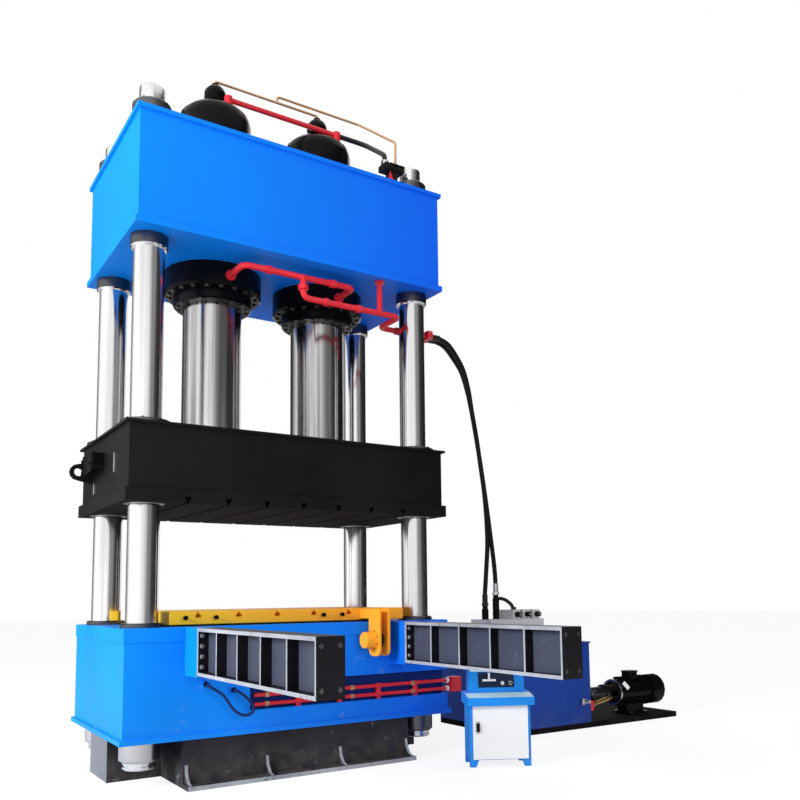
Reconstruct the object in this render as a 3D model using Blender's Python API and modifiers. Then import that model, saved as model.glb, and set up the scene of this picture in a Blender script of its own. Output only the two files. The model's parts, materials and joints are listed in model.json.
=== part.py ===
"""A four-column hydraulic press: twin main cylinders in a welded crown, a guided slide, a bed with a
bolster that rolls out on two front rails, an operator console and a power unit at the right.

The origin is on the floor at the middle of the press. +X runs to the right along the front, +Y to the
back, +Z up. All lengths are in metres.
"""

import math

import bmesh
import bpy
from mathutils import Matrix, Vector

# Clearances and shape settings
FIT = 0.0003
RUNNING_FIT = 0.0006
OVERRUN = 0.03
LET_IN = 0.005
MERGE = 0.00001
BIG_ROUND = 24
ROUND = 16
SMALL_ROUND = 12
ARC_STEPS = 3

# Frame levels
BASE_HEIGHT = 0.427
BED_HEIGHT = 1.022
OPEN_HEIGHT = 3.777
CROWN_HEIGHT = 1.178
BED_TOP = BASE_HEIGHT + BED_HEIGHT
CROWN_BOTTOM = BED_TOP + OPEN_HEIGHT
CROWN_TOP = CROWN_BOTTOM + CROWN_HEIGHT

# Columns and their nuts
COLUMN_PITCH_X = 3.06
COLUMN_PITCH_Y = 1.36
COLUMN_RADIUS = 0.15
COLUMN_TAIL = 0.26
COLUMN_GROOVE_DEPTH = 0.012
COLUMN_GROOVE_WIDTH = 0.02
COLUMN_GROOVE_RISE = 0.03
COLUMN_COLLAR_RADIUS = 0.18
COLUMN_COLLAR_HEIGHT = 0.126
COLUMN_SHOULDER_RADIUS = 0.195
COLUMN_SHOULDER_HEIGHT = 0.041
COLUMN_EDGE = 0.012
COLUMN_HEAD_RADIUS = 0.125
COLUMN_HEAD_HEIGHT = 0.366
COLUMN_HEAD_ROUND = 0.03
TOP_NUT_HEIGHT = 0.18
TOP_NUT_RADIUS = 0.19
BOTTOM_NUT_HEIGHT = 0.192
BOTTOM_NUT_RADIUS = 0.183
NUT_CHAMFER = 0.02

# Crown beam
CROWN_LENGTH = 3.50
CROWN_WIDTH = 2.01
CROWN_LIP = 0.03
CROWN_TOP_PLATE = 0.045
CROWN_BOTTOM_PLATE = 0.06

# Main cylinders and plungers
CYLINDER_PITCH = 1.28
CYLINDER_FLANGE_RADIUS = 0.525
CYLINDER_FLANGE_DROP = 0.246
CYLINDER_BARREL_RADIUS = 0.40
CYLINDER_RISE = 0.746
CYLINDER_DOME_ROUND = 0.17
CYLINDER_END_WALL = 0.20
CYLINDER_CHAMFER = 0.02
BORE_CLEARANCE = 0.02
PLUNGER_RADIUS = 0.315
PLUNGER_LENGTH = 2.72
PLUNGER_CHAMFER = 0.015
GLAND_HEIGHT = 0.12
GLAND_RADIUS = 0.42
GLAND_CHAMFER = 0.015

# Prefill valves
VALVE_FLANGE_RADIUS = 0.13
VALVE_FLANGE_HEIGHT = 0.04
VALVE_NECK_RADIUS = 0.075
VALVE_BALL_RADIUS = 0.125
VALVE_BALL_RISE = 0.20
VALVE_STUB_RADIUS = 0.04
VALVE_STUB_RISE = 0.34

# Slide beam
SLIDE_LENGTH = 3.56
SLIDE_WIDTH = 1.94
SLIDE_BOTTOM = 2.605
SLIDE_HEIGHT = 0.755
SLIDE_LIP = 0.035
SLIDE_BOTTOM_FLANGE = 0.125
SLIDE_TOP_PLATE = 0.025
SLIDE_SLOT_PITCH = 0.40
SLIDE_SLOT_COUNT = 7
BUSH_SLEEVE_RADIUS = 0.19
BUSH_FLANGE_RADIUS = 0.24
BUSH_FLANGE_HEIGHT = 0.04
BUSH_CHAMFER = 0.01
LUG_Y = 0.50
LUG_THICKNESS = 0.05
LUG_HOLE_RADIUS = 0.045
LUG_RADIUS = 0.085
LUG_REACH = 0.11
LUG_RISE = 0.435
LUG_SEAT_HEIGHT = 0.24
SWITCH_BOX_WIDTH = 0.42
SWITCH_BOX_HEIGHT = 0.14
SWITCH_BOX_DEPTH = 0.10
SWITCH_BOX_Y = 0.20
SWITCH_BOX_RISE = 0.435
SWITCH_BOX_LID = 0.02
SWITCH_BOX_LID_LIP = 0.008

# T-slots of the slide and of the bolster
SLOT_NECK_WIDTH = 0.036
SLOT_NECK_DEPTH = 0.034
SLOT_HEAD_WIDTH = 0.062
SLOT_HEAD_HEIGHT = 0.026

# Bed beam
BED_LENGTH = 3.52
BED_WIDTH = 1.94
BED_TOP_LIP = 0.008
BED_TOP_LIP_HEIGHT = 0.125
BED_BOTTOM_PLATE = 0.045
BED_BOTTOM_LIP = 0.03
CHANNEL_LEFT = -0.57
CHANNEL_FLOOR = 0.213
CHANNEL_HEIGHT = 0.26
CHANNEL_DEPTH = 0.10
CABLE_BOSS_RADIUS = 0.035
CABLE_BOSS_LENGTH = 0.03

# Base frame
BASE_NUT_CLEARANCE = 0.127
BASE_WIDTH = 1.98
BASE_FOOT_WIDTH = 2.29
BASE_FOOT_THICKNESS = 0.04
BASE_WING_LENGTH = 0.51
BASE_WING_WIDTH = 0.66
GUSSET_COUNT = 4
GUSSET_THICKNESS = 0.03
GUSSET_HEIGHT = 0.165
GUSSET_TIP = 0.02

# Rails in front of the bed
RAIL_X = 1.10
RAIL_WIDTH = 0.22
RAIL_HEIGHT = 0.42
RAIL_FLANGE = 0.03
RAIL_WEB = 0.03
RAIL_BAYS = 5
RAIL_STIFFENER = 0.02
RAIL_END_PLATE = 0.02
RAIL_ROOT_PLATE = 0.03
RAIL_LENGTH = 2.32
STUB_LENGTH = 0.33
STUB_HEIGHT = 0.44

# Sliding bolster
BOLSTER_LENGTH = 2.60
BOLSTER_WIDTH = 1.58
BOLSTER_LIFT = 0.016
BOLSTER_THICKNESS = 0.125
BOLSTER_SLOT_PITCH = 0.41
BOLSTER_SLOT_COUNT = 6
BOLSTER_CHAMFER = 0.006
WHEEL_RADIUS = 0.06
WHEEL_WIDTH = 0.044
WHEEL_SIDE_GAP = 0.004
WHEEL_TIP_GAP = 0.012
WHEEL_INSET = 0.24
WHEEL_CHAMFER = 0.006
JOURNAL_RADIUS = 0.018
JOURNAL_LENGTH = 0.014

# Bolster drive
DRIVE_ARM_LENGTH = 0.23
DRIVE_ARM_HEIGHT = 0.10
DRIVE_PLATE_GAP = 0.107
DRIVE_PLATE_X = 0.755
DRIVE_PLATE_THICKNESS = 0.022
DRIVE_PLATE_WIDTH = 0.22
DRIVE_PLATE_DROP = 0.485
DRIVE_PLATE_FRONT = 1.205
DRIVE_CORNER = 0.07
DRIVE_MOTOR_RADIUS = 0.085
DRIVE_MOTOR_LENGTH = 0.11
DRIVE_MOTOR_FLANGE = 0.02
DRIVE_MOTOR_FLANGE_RADIUS = 0.10
DRIVE_MOTOR_DROP = 0.325
DRIVE_SHAFT_RADIUS = 0.025
DRIVE_SHAFT_END = 0.02
DRIVE_MOTOR_CHAMFER = 0.008

# Pipes
PIPE_RADIUS = 0.0335
PIPE_BEND = 0.075
PRESSURE_PIPE_Y = -0.88
PRESSURE_PIPE_DROP = 0.146
CROSS_PIPE_DROP = 0.366
CROSS_PIPE_X = 0.03
RISER_X = 0.974
RISER_RADIUS = 0.031
CROSS_PIPE_END_X = 1.23
TAIL_PIPE_Y = -0.45
TAIL_PIPE_END_X = 1.89
HOSE_BLOCK_LENGTH = 0.07
HOSE_BLOCK_WIDTH = 0.24
HOSE_BLOCK_HEIGHT = 0.10
HOSE_BLOCK_OFFSET = 0.05
RISER_FLANGE_RADIUS = 0.055
RISER_FLANGE_HEIGHT = 0.025
RETURN_PIPE_RADIUS = 0.03
RETURN_PIPE_BEND = 0.12
RETURN_PIPE_Y = -0.20
RETURN_PIPE_RISE = 0.08
RETURN_PIPE_LEFT_X = -0.56
RETURN_PIPE_RIGHT_X = 1.20
RETURN_PIPE_FOOT_X = 0.80
RETURN_FOOT_RADIUS = 0.045
PILOT_RADIUS = 0.015
PILOT_BEND = 0.05
PILOT_RISE = 0.376
PILOT_BRANCH_RISE = 0.075
PILOT_BRANCH_X = 0.115
PILOT_BRANCH_END_X = 1.24
PILOT_KNEE_RISE = 0.62
PIPE_BLOCK_X = 1.23
PIPE_BLOCK_LENGTH = 0.26
PIPE_BLOCK_Y = -0.75
PIPE_BLOCK_WIDTH = 0.16
PIPE_BLOCK_HEIGHT = 0.30
PIPE_BLOCK_HEAD = 0.07
PIPE_BLOCK_FOOT = 0.10
PILOT_END_X = 1.285
RETURN_END_X = 1.14

# Two pipes in the bed's front channel
BED_PIPE_RADIUS = 0.02
BED_PIPE_SPACING = 0.09
BED_PIPE_RISE = 0.045
BED_PIPE_SETBACK = 0.045
BED_PIPE_START = 0.06
BED_PIPE_REACH = 0.06
BED_CLAMP_LENGTH = 0.05
BED_CLAMP_DEPTH = 0.03
BED_CLAMP_COUNT = 4
BED_BLOCK_LENGTH = 0.12
BED_BLOCK_DEPTH = 0.12
BED_BLOCK_MARGIN = 0.035

# Operator console, turned to face the operator
CONSOLE_X = 1.79
CONSOLE_Y = -1.79
CONSOLE_TURN = -28.0
CONSOLE_WIDTH = 0.62
CONSOLE_DEPTH = 0.34
CONSOLE_WALL = 0.015
CONSOLE_LEG = 0.07
CONSOLE_LEG_SIZE = 0.06
CONSOLE_CABINET_HEIGHT = 0.54
CONSOLE_FRAME = 0.03
DOOR_THICKNESS = 0.018
DOOR_BOTTOM_RISE = 0.008
DESK_WIDTH = 0.68
DESK_HEIGHT = 0.11
DESK_OVERHANG = 0.07
DESK_SLOPE_DROP = 0.03
PANEL_WIDTH = 0.58
PANEL_HEIGHT = 0.25
PANEL_BASE_DEPTH = 0.20
PANEL_SETBACK = 0.01
PANEL_LEAN = 12.0
PANEL_RECESS_WIDTH = 0.38
PANEL_RECESS_HEIGHT = 0.16
PANEL_RECESS_DEPTH = 0.004
PANEL_RECESS_RISE = 0.045
HANDLE_WIDTH = 0.03
HANDLE_HEIGHT = 0.085
HANDLE_THICKNESS = 0.02
HANDLE_INSET = 0.05
HANDLE_LEVEL = 0.60
HANDLE_HUB_RADIUS = 0.012
HANDLE_STEM_RADIUS = 0.006
BUTTON_RADIUS = 0.014
BUTTON_HEIGHT = 0.016
BUTTON_STEM_RADIUS = 0.008
BUTTON_STEM_LENGTH = 0.02
BUTTON_TRAVEL = 0.006
BUTTON_RISE = 0.09
START_BUTTON_X = 0.065
STOP_BUTTON_X = 0.15
SELECTOR_X = -0.075
SELECTOR_RISE = 0.12
SELECTOR_BAR_LENGTH = 0.14
SELECTOR_BAR_WIDTH = 0.02
SELECTOR_BAR_HEIGHT = 0.02
SELECTOR_GRIP_LENGTH = 0.075

# Power unit
SKID_LEFT = 2.95
SKID_LENGTH = 2.95
SKID_FRONT = -0.70
SKID_WIDTH = 1.55
SKID_HEIGHT = 0.07
SKID_DECK = 0.012
SKID_BAR = 0.07
TANK_LENGTH = 1.29
TANK_HEIGHT = 1.03
TANK_LID = 0.02
TANK_LID_LIP = 0.015
BREATHER_RADIUS = 0.05
BREATHER_HEIGHT = 0.11
BREATHER_NECK_RADIUS = 0.025
BREATHER_NECK_HEIGHT = 0.04
BREATHER_INSET_X = 0.15
BREATHER_INSET_Y = 0.25
MANHOLE_RADIUS = 0.22
MANHOLE_HEIGHT = 0.02
MANIFOLD_INSET = 0.07
MANIFOLD_LENGTH = 0.90
MANIFOLD_FRONT = -0.20
MANIFOLD_WIDTH = 0.42
MANIFOLD_HEIGHT = 0.30
VALVE_BODY_COUNT = 3
VALVE_BODY_PITCH = 0.17
VALVE_BODY_LENGTH = 0.12
VALVE_BODY_WIDTH = 0.30
VALVE_BODY_HEIGHT = 0.12
VALVE_BODY_LEFT = 0.42
VALVE_BASE_WIDTH = 0.15
VALVE_BASE_HEIGHT = 0.06
SOLENOID_RADIUS = 0.035
SOLENOID_LENGTH = 0.07
SOLENOID_RISE = 0.06
HOSE_SEAT_RADIUS = 0.045
HOSE_SEAT_NECK_RADIUS = 0.036
MOTOR_Y = -0.40
MOTOR_SHAFT_HEIGHT = 0.30
MOTOR_RADIUS = 0.175
MOTOR_FIN_HEIGHT = 0.03
MOTOR_FIN_THICKNESS = 0.008
MOTOR_FIN_COUNT = 14
MOTOR_LENGTH = 0.62
MOTOR_SHIELD = 0.035
MOTOR_BORE_RADIUS = 0.13
MOTOR_COWL_LENGTH = 0.18
MOTOR_COWL_RADIUS = 0.205
MOTOR_COWL_WALL = 0.008
MOTOR_COWL_MOUTH = 0.15
MOTOR_FOOT_WIDTH = 0.32
MOTOR_FOOT_LENGTH = 0.34
MOTOR_FOOT_THICKNESS = 0.025
MOTOR_PEDESTAL_SINK = 0.02
MOTOR_BOX_LENGTH = 0.16
MOTOR_BOX_WIDTH = 0.14
MOTOR_BOX_HEIGHT = 0.09
MOTOR_GAP = 0.76
SHAFT_RADIUS = 0.03
SHAFT_REACH = 0.09
ROTOR_RADIUS = 0.118
ROTOR_END_GAP = 0.04
FAN_RADIUS = 0.14
FAN_THICKNESS = 0.04
FAN_BLADES = 6
FAN_BLADE_THICKNESS = 0.006
FAN_HUB_RADIUS = 0.045
BELL_LENGTH = 0.22
BELL_RADIUS = 0.15
BELL_PUMP_RADIUS = 0.10
BELL_FLANGE = 0.02
BELL_WALL = 0.02
BELL_WINDOW_LENGTH = 0.09
BELL_WINDOW_WIDTH = 0.08
PUMP_RADIUS = 0.095
PUMP_LENGTH = 0.26
PUMP_FLANGE_RADIUS = 0.12
PUMP_FLANGE = 0.025
PUMP_PORT_RADIUS = 0.045
PUMP_PORT_FLANGE_RADIUS = 0.065
PUMP_PORT_FLANGE = 0.018
PUMP_CHAMFER = 0.02

# Hoses from the crown down to the valve block, and the cable loop under the left rail. Each route is
# a list of points along its middle
HOSE_RADIUS = 0.03
HOSE_POINTS = 28
CABLE_RADIUS = 0.014
CABLE_POINTS = 30
HOSE_A_ROUTE = [
    (1.93, -0.475, 4.86),
    (1.98, -0.475, 4.86),
    (2.05, -0.475, 4.86),
    (2.24, -0.42, 4.83),
    (2.45, -0.31, 4.74),
    (2.63, -0.22, 4.60),
    (2.76, -0.15, 4.38),
    (2.85, -0.10, 4.11),
    (2.95, -0.06, 3.77),
    (3.03, -0.03, 3.42),
    (3.11, -0.01, 2.97),
    (3.145, 0.0, 2.44),
    (3.11, 0.0, 1.98),
    (3.085, 0.0, 1.72),
    (3.085, 0.0, 1.64),
    (3.085, 0.0, 1.58),
]
HOSE_B_ROUTE = [
    (1.93, -0.365, 4.86),
    (1.98, -0.365, 4.86),
    (2.06, -0.365, 4.86),
    (2.27, -0.30, 4.84),
    (2.49, -0.19, 4.75),
    (2.68, -0.11, 4.61),
    (2.82, -0.05, 4.38),
    (2.92, -0.01, 4.11),
    (3.02, 0.03, 3.77),
    (3.10, 0.05, 3.42),
    (3.18, 0.06, 2.97),
    (3.25, 0.06, 2.48),
    (3.30, 0.06, 2.10),
    (3.315, 0.06, 1.88),
    (3.315, 0.06, 1.80),
    (3.315, 0.06, 1.72),
]
CABLE_ROUTE = [
    (-1.02, -1.003, 0.92),
    (-1.02, -1.016, 0.92),
    (-1.02, -1.03, 0.92),
    (-0.995, -1.055, 0.898),
    (-0.93, -1.06, 0.855),
    (-0.875, -1.06, 0.815),
    (-0.83, -1.06, 0.76),
    (-0.79, -1.06, 0.70),
    (-0.74, -1.06, 0.65),
    (-0.68, -1.06, 0.618),
    (-0.62, -1.06, 0.615),
    (-0.575, -1.06, 0.64),
    (-0.575, -1.06, 0.69),
    (-0.615, -1.06, 0.75),
    (-0.67, -1.06, 0.80),
    (-0.73, -1.055, 0.84),
    (-0.75, -1.03, 0.85),
    (-0.75, -1.016, 0.85),
    (-0.75, -1.003, 0.85),
]

# Colours: name, (red, green, blue), roughness, metallic
FINISHES = {
    "frame_blue": ((0.02, 0.22, 0.80), 0.35, 0.0),
    "machine_black": ((0.012, 0.012, 0.014), 0.45, 0.0),
    "ground_steel": ((0.62, 0.62, 0.63), 0.18, 1.0),
    "dark_steel": ((0.10, 0.10, 0.11), 0.35, 1.0),
    "bolster_yellow": ((0.80, 0.42, 0.02), 0.45, 0.0),
    "pipe_red": ((0.62, 0.02, 0.03), 0.35, 0.0),
    "pipe_brass": ((0.55, 0.30, 0.16), 0.35, 1.0),
    "rail_grey": ((0.05, 0.055, 0.07), 0.5, 0.0),
    "console_white": ((0.85, 0.86, 0.88), 0.35, 0.0),
    "panel_blue": ((0.03, 0.24, 0.62), 0.4, 0.0),
    "hose_rubber": ((0.015, 0.015, 0.016), 0.6, 0.0),
    "cable_blue": ((0.02, 0.05, 0.20), 0.5, 0.0),
    "casting_grey": ((0.35, 0.36, 0.37), 0.5, 0.2),
}

SIDES = (("left", -1), ("right", 1))
DEPTHS = (("front", -1), ("rear", 1))
AXIS_X, AXIS_Z = Vector((1, 0, 0)), Vector((0, 0, 1))

# Levels and places that several pieces share
SLIDE_TOP = SLIDE_BOTTOM + SLIDE_HEIGHT
CYLINDER_X = CYLINDER_PITCH / 2
GLAND_BOTTOM = CROWN_BOTTOM - CYLINDER_FLANGE_DROP - GLAND_HEIGHT
CYLINDER_TOP = CROWN_TOP + CYLINDER_RISE
BOLSTER_BOTTOM = BED_TOP + BOLSTER_LIFT
BOLSTER_TOP = BOLSTER_BOTTOM + BOLSTER_THICKNESS
BED_FRONT = -BED_WIDTH / 2
TANK_TOP = SKID_HEIGHT + TANK_HEIGHT
SHAFT_LEVEL = SKID_HEIGHT + MOTOR_SHAFT_HEIGHT
SLOT_DEPTH = SLOT_NECK_DEPTH + SLOT_HEAD_HEIGHT
MANIFOLD_LEFT = SKID_LEFT + MANIFOLD_INSET
MOTOR_LEFT = SKID_LEFT + TANK_LENGTH + MOTOR_GAP
BASE_HALF_LENGTH = COLUMN_PITCH_X / 2 - BOTTOM_NUT_RADIUS - BASE_NUT_CLEARANCE


def column_places():
    """(name ending, x, y) of each column."""
    for depth, back in DEPTHS:
        for side, right in SIDES:
            yield f"{depth}_{side}", right * COLUMN_PITCH_X / 2, back * COLUMN_PITCH_Y / 2


def clear_scene():
    for obj in list(bpy.data.objects):
        bpy.data.objects.remove(obj, do_unlink=True)


def new_collection(name):
    made = bpy.data.collections.new(name)
    bpy.context.scene.collection.children.link(made)
    return made


def principled(name):
    colour, roughness, metallic = FINISHES[name]
    made = bpy.data.materials.get(name)
    if made:
        return made
    made = bpy.data.materials.new(name)
    made.use_nodes = True
    shader = made.node_tree.nodes["Principled BSDF"]
    shader.inputs["Base Color"].default_value = (*colour, 1)
    shader.inputs["Roughness"].default_value = roughness
    shader.inputs["Metallic"].default_value = metallic
    return made


def mesh_object(name, mesh):
    obj = bpy.data.objects.new(name, mesh)
    bpy.data.collections["Hydraulic press"].objects.link(obj)
    return obj


def evaluated_mesh(obj):
    graph = bpy.context.evaluated_depsgraph_get()
    return bpy.data.meshes.new_from_object(obj.evaluated_get(graph))


def bake(obj):
    """The object's modifiers made part of its mesh, or a curve made a welded mesh."""
    mesh = evaluated_mesh(obj)
    name, matrix = obj.name, obj.matrix_world.copy()
    work = bmesh.new()
    work.from_mesh(mesh)
    bmesh.ops.remove_doubles(work, verts=work.verts, dist=MERGE)
    bmesh.ops.transform(work, matrix=matrix, verts=work.verts)
    bmesh.ops.recalc_face_normals(work, faces=work.faces)
    work.to_mesh(mesh)
    work.free()
    bpy.data.objects.remove(obj)
    return mesh_object(name, mesh)


def box(name, low, high):
    """A box between two opposite corners."""
    low, high = Vector(low), Vector(high)
    work = bmesh.new()
    bmesh.ops.create_cube(work, size=1)
    bmesh.ops.scale(work, vec=high - low, verts=work.verts)
    bmesh.ops.translate(work, vec=(low + high) / 2, verts=work.verts)
    mesh = bpy.data.meshes.new(name)
    work.to_mesh(mesh)
    work.free()
    return mesh_object(name, mesh)


def rod(name, start, end, radius, end_radius=None, segments=ROUND):
    """A round bar or cone between two points."""
    start, end = Vector(start), Vector(end)
    along = end - start
    turn = AXIS_Z.rotation_difference(along).to_matrix().to_4x4()
    work = bmesh.new()
    bmesh.ops.create_cone(
        work,
        cap_ends=True,
        segments=segments,
        radius1=radius,
        radius2=radius if end_radius is None else end_radius,
        depth=along.length,
        matrix=Matrix.Translation((start + end) / 2) @ turn,
    )
    mesh = bpy.data.meshes.new(name)
    work.to_mesh(mesh)
    work.free()
    return mesh_object(name, mesh)


def turned(name, profile, at=(0, 0, 0), axis=AXIS_Z, segments=ROUND, ring=False):
    """A turned shape. The profile is (radius, height) points from the top down the outer side, and a
    ring's profile comes back up its bore."""
    mesh = bpy.data.meshes.new(name)
    count = len(profile)
    edges = [(i, i + 1) for i in range(count - 1)]
    if ring:
        edges.append((count - 1, 0))
    mesh.from_pydata([(radius, 0, height) for radius, height in profile], edges, [])
    obj = mesh_object(name, mesh)
    screw = obj.modifiers.new("Screw", "SCREW")
    screw.steps = segments
    screw.render_steps = segments
    screw.use_merge_vertices = True
    screw.merge_threshold = MERGE
    obj = bake(obj)
    obj.data.transform(Matrix.Translation(at) @ AXIS_Z.rotation_difference(axis).to_matrix().to_4x4())
    return obj


def plate(name, outline, thickness, matrix, holes=()):
    """A flat plate: its outline in its own XY plane, half the thickness to either side of that plane."""
    curve = bpy.data.curves.new(name, "CURVE")
    curve.dimensions = "2D"
    curve.fill_mode = "BOTH"
    curve.extrude = thickness / 2
    for points in (outline, *holes):
        spline = curve.splines.new("POLY")
        spline.points.add(len(points) - 1)
        for point, (x, y) in zip(spline.points, points):
            point.co = (x, y, 0, 1)
        spline.use_cyclic_u = True
    obj = mesh_object(name, curve)
    obj.matrix_world = matrix
    bpy.context.view_layer.update()
    return bake(obj)


def arc(centre, radius, start, end, steps=ARC_STEPS):
    """Points on an arc in a plate's plane, its angles in degrees."""
    for i in range(steps + 1):
        angle = math.radians(start + (end - start) * i / steps)
        yield centre[0] + radius * math.cos(angle), centre[1] + radius * math.sin(angle)


def tube(name, points, radius, resolution=2):
    curve = bpy.data.curves.new(name, "CURVE")
    curve.dimensions = "3D"
    curve.bevel_depth = radius
    curve.bevel_resolution = resolution
    curve.use_fill_caps = True
    spline = curve.splines.new("POLY")
    spline.points.add(len(points) - 1)
    for spot, point in zip(spline.points, points):
        spot.co = (*point, 1)
    return bake(mesh_object(name, curve))


def bent_route(corners, bend, steps=ARC_STEPS):
    """The corners of a pipe's route with each turned into an arc of the bend radius, or of a smaller
    one where a run is too short for it."""
    corners = [Vector(corner) for corner in corners]
    points = [corners[0]]
    for before, corner, after in zip(corners, corners[1:], corners[2:]):
        into, out = before - corner, after - corner
        half = into.angle(out) / 2
        reach = min(bend / math.tan(half), into.length / 2, out.length / 2)
        first, last = corner + into.normalized() * reach, corner + out.normalized() * reach
        middle = (into.normalized() + out.normalized()).normalized()
        centre = corner + middle * reach / math.cos(half)
        start, end = first - centre, last - centre
        for i in range(steps + 1):
            share = i / steps
            points.append(centre + start.normalized().slerp(end.normalized(), share) * start.length)
    points.append(corners[-1])
    return points


def smooth_route(places, count):
    """Evenly numbered points on a smooth curve through the places."""
    places = [Vector(place) for place in places]
    padded = [2 * places[0] - places[1], *places, 2 * places[-1] - places[-2]]
    spans = len(places) - 1
    points = []
    for i in range(count):
        along = spans * i / (count - 1)
        span = min(int(along), spans - 1)
        t = along - span
        a, b, c, d = padded[span : span + 4]
        points.append(
            (2 * b + (c - a) * t + (2 * a - 5 * b + 4 * c - d) * t**2 + (3 * b - a - 3 * c + d) * t**3) / 2
        )
    return points


def combine(target, tool, operation):
    """One object cut by, or joined to, another, which is used up."""
    modifier = target.modifiers.new(operation, "BOOLEAN")
    modifier.operation = operation
    modifier.object = tool
    mesh = evaluated_mesh(target)
    target.modifiers.clear()
    target.data = mesh
    bpy.data.objects.remove(tool)
    return target


def join(target, *tools):
    for tool in tools:
        combine(target, tool, "UNION")
    return target


def cut(target, *tools):
    for tool in tools:
        combine(target, tool, "DIFFERENCE")
    return target


def dress(obj, finish, at=(0, 0, 0)):
    """The node's finish, smooth shading on its round faces, and its origin at a point."""
    obj.data.materials.clear()
    obj.data.materials.append(principled(finish))
    obj.data.shade_smooth()
    obj.data.set_sharp_from_angle(angle=math.radians(30))
    obj.data.transform(Matrix.Translation(-Vector(at)))
    obj.location = at
    return obj


def column_holes(radius, low, high):
    """A cutter for each column's hole."""
    for place, x, y in column_places():
        yield rod(f"hole_{place}", (x, y, low - OVERRUN), (x, y, high + OVERRUN), radius)


def t_slot(name, x, front, rear, mouth, into):
    """The two cutters of a T-slot along Y. into is 1 where the slot goes up from its mouth, -1 down."""
    levels = sorted((mouth - into * OVERRUN, mouth + into * (SLOT_NECK_DEPTH + LET_IN)))
    neck = box(
        f"{name}_neck",
        (x - SLOT_NECK_WIDTH / 2, front, levels[0]),
        (x + SLOT_NECK_WIDTH / 2, rear, levels[1]),
    )
    levels = sorted((mouth + into * SLOT_NECK_DEPTH, mouth + into * SLOT_DEPTH))
    head = box(
        f"{name}_head",
        (x - SLOT_HEAD_WIDTH / 2, front, levels[0]),
        (x + SLOT_HEAD_WIDTH / 2, rear, levels[1]),
    )
    return neck, head


def build_crown():
    length, width = CROWN_LENGTH / 2, CROWN_WIDTH / 2
    crown = box(
        "crown_beam",
        (-length + CROWN_LIP, -width + CROWN_LIP, CROWN_BOTTOM + LET_IN),
        (length - CROWN_LIP, width - CROWN_LIP, CROWN_TOP - LET_IN),
    )
    join(
        crown,
        box("top_plate", (-length, -width, CROWN_TOP - CROWN_TOP_PLATE), (length, width, CROWN_TOP)),
        box("bottom_plate", (-length, -width, CROWN_BOTTOM), (length, width, CROWN_BOTTOM + CROWN_BOTTOM_PLATE)),
    )
    cut(crown, *column_holes(COLUMN_RADIUS + FIT, CROWN_BOTTOM, CROWN_TOP))
    for side, right in SIDES:
        x = right * CYLINDER_X
        low, high = (x, 0, CROWN_BOTTOM - OVERRUN), (x, 0, CROWN_TOP + OVERRUN)
        cut(crown, rod(f"barrel_{side}", low, high, CYLINDER_BARREL_RADIUS + FIT, segments=BIG_ROUND))
    dress(crown, "frame_blue")


def build_columns():
    top = CROWN_TOP + COLUMN_HEAD_HEIGHT
    bottom = BASE_HEIGHT - COLUMN_TAIL
    head_steps = [
        (COLUMN_HEAD_RADIUS - COLUMN_HEAD_ROUND + radius, top - COLUMN_HEAD_ROUND + height)
        for radius, height in arc((0, 0), COLUMN_HEAD_ROUND, 90, 0)
    ]
    groove = bottom + COLUMN_GROOVE_RISE
    collar_bottom = CROWN_BOTTOM - FIT - COLUMN_COLLAR_HEIGHT
    shoulder_bottom = BED_TOP + FIT
    shoulder_top = shoulder_bottom + COLUMN_SHOULDER_HEIGHT
    profile = [
        (0, top),
        *head_steps,
        (COLUMN_HEAD_RADIUS, CROWN_TOP),
        (COLUMN_RADIUS, CROWN_TOP),
        (COLUMN_RADIUS, CROWN_BOTTOM - FIT),
        (COLUMN_COLLAR_RADIUS, CROWN_BOTTOM - FIT),
        (COLUMN_COLLAR_RADIUS, collar_bottom + COLUMN_EDGE),
        (COLUMN_COLLAR_RADIUS - COLUMN_EDGE, collar_bottom),
        (COLUMN_RADIUS, collar_bottom),
        (COLUMN_RADIUS, shoulder_top),
        (COLUMN_SHOULDER_RADIUS - COLUMN_EDGE, shoulder_top),
        (COLUMN_SHOULDER_RADIUS, shoulder_top - COLUMN_EDGE),
        (COLUMN_SHOULDER_RADIUS, shoulder_bottom),
        (COLUMN_RADIUS, shoulder_bottom),
        (COLUMN_RADIUS, groove + COLUMN_GROOVE_WIDTH),
        (COLUMN_RADIUS - COLUMN_GROOVE_DEPTH, groove + COLUMN_GROOVE_WIDTH),
        (COLUMN_RADIUS - COLUMN_GROOVE_DEPTH, groove),
        (COLUMN_RADIUS, groove),
        (COLUMN_RADIUS, bottom + COLUMN_EDGE),
        (COLUMN_RADIUS - COLUMN_EDGE, bottom),
        (0, bottom),
    ]
    for place, x, y in column_places():
        dress(turned(f"column_{place}", profile, (x, y, 0)), "ground_steel")


def nut_profile(outer, bore, low, high):
    return [
        (bore, high),
        (outer - NUT_CHAMFER, high),
        (outer, high - NUT_CHAMFER),
        (outer, low + NUT_CHAMFER),
        (outer - NUT_CHAMFER, low),
        (bore, low),
    ]


def build_column_nuts():
    low = CROWN_TOP + FIT
    top_nut = nut_profile(TOP_NUT_RADIUS, COLUMN_HEAD_RADIUS + FIT, low, low + TOP_NUT_HEIGHT)
    high = BASE_HEIGHT - FIT
    bottom_nut = nut_profile(BOTTOM_NUT_RADIUS, COLUMN_RADIUS + FIT, high - BOTTOM_NUT_HEIGHT, high)
    for place, x, y in column_places():
        dress(turned(f"upper_nut_{place}", top_nut, (x, y, 0), ring=True), "dark_steel")
        dress(turned(f"lower_nut_{place}", bottom_nut, (x, y, 0), ring=True), "ground_steel")


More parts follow.
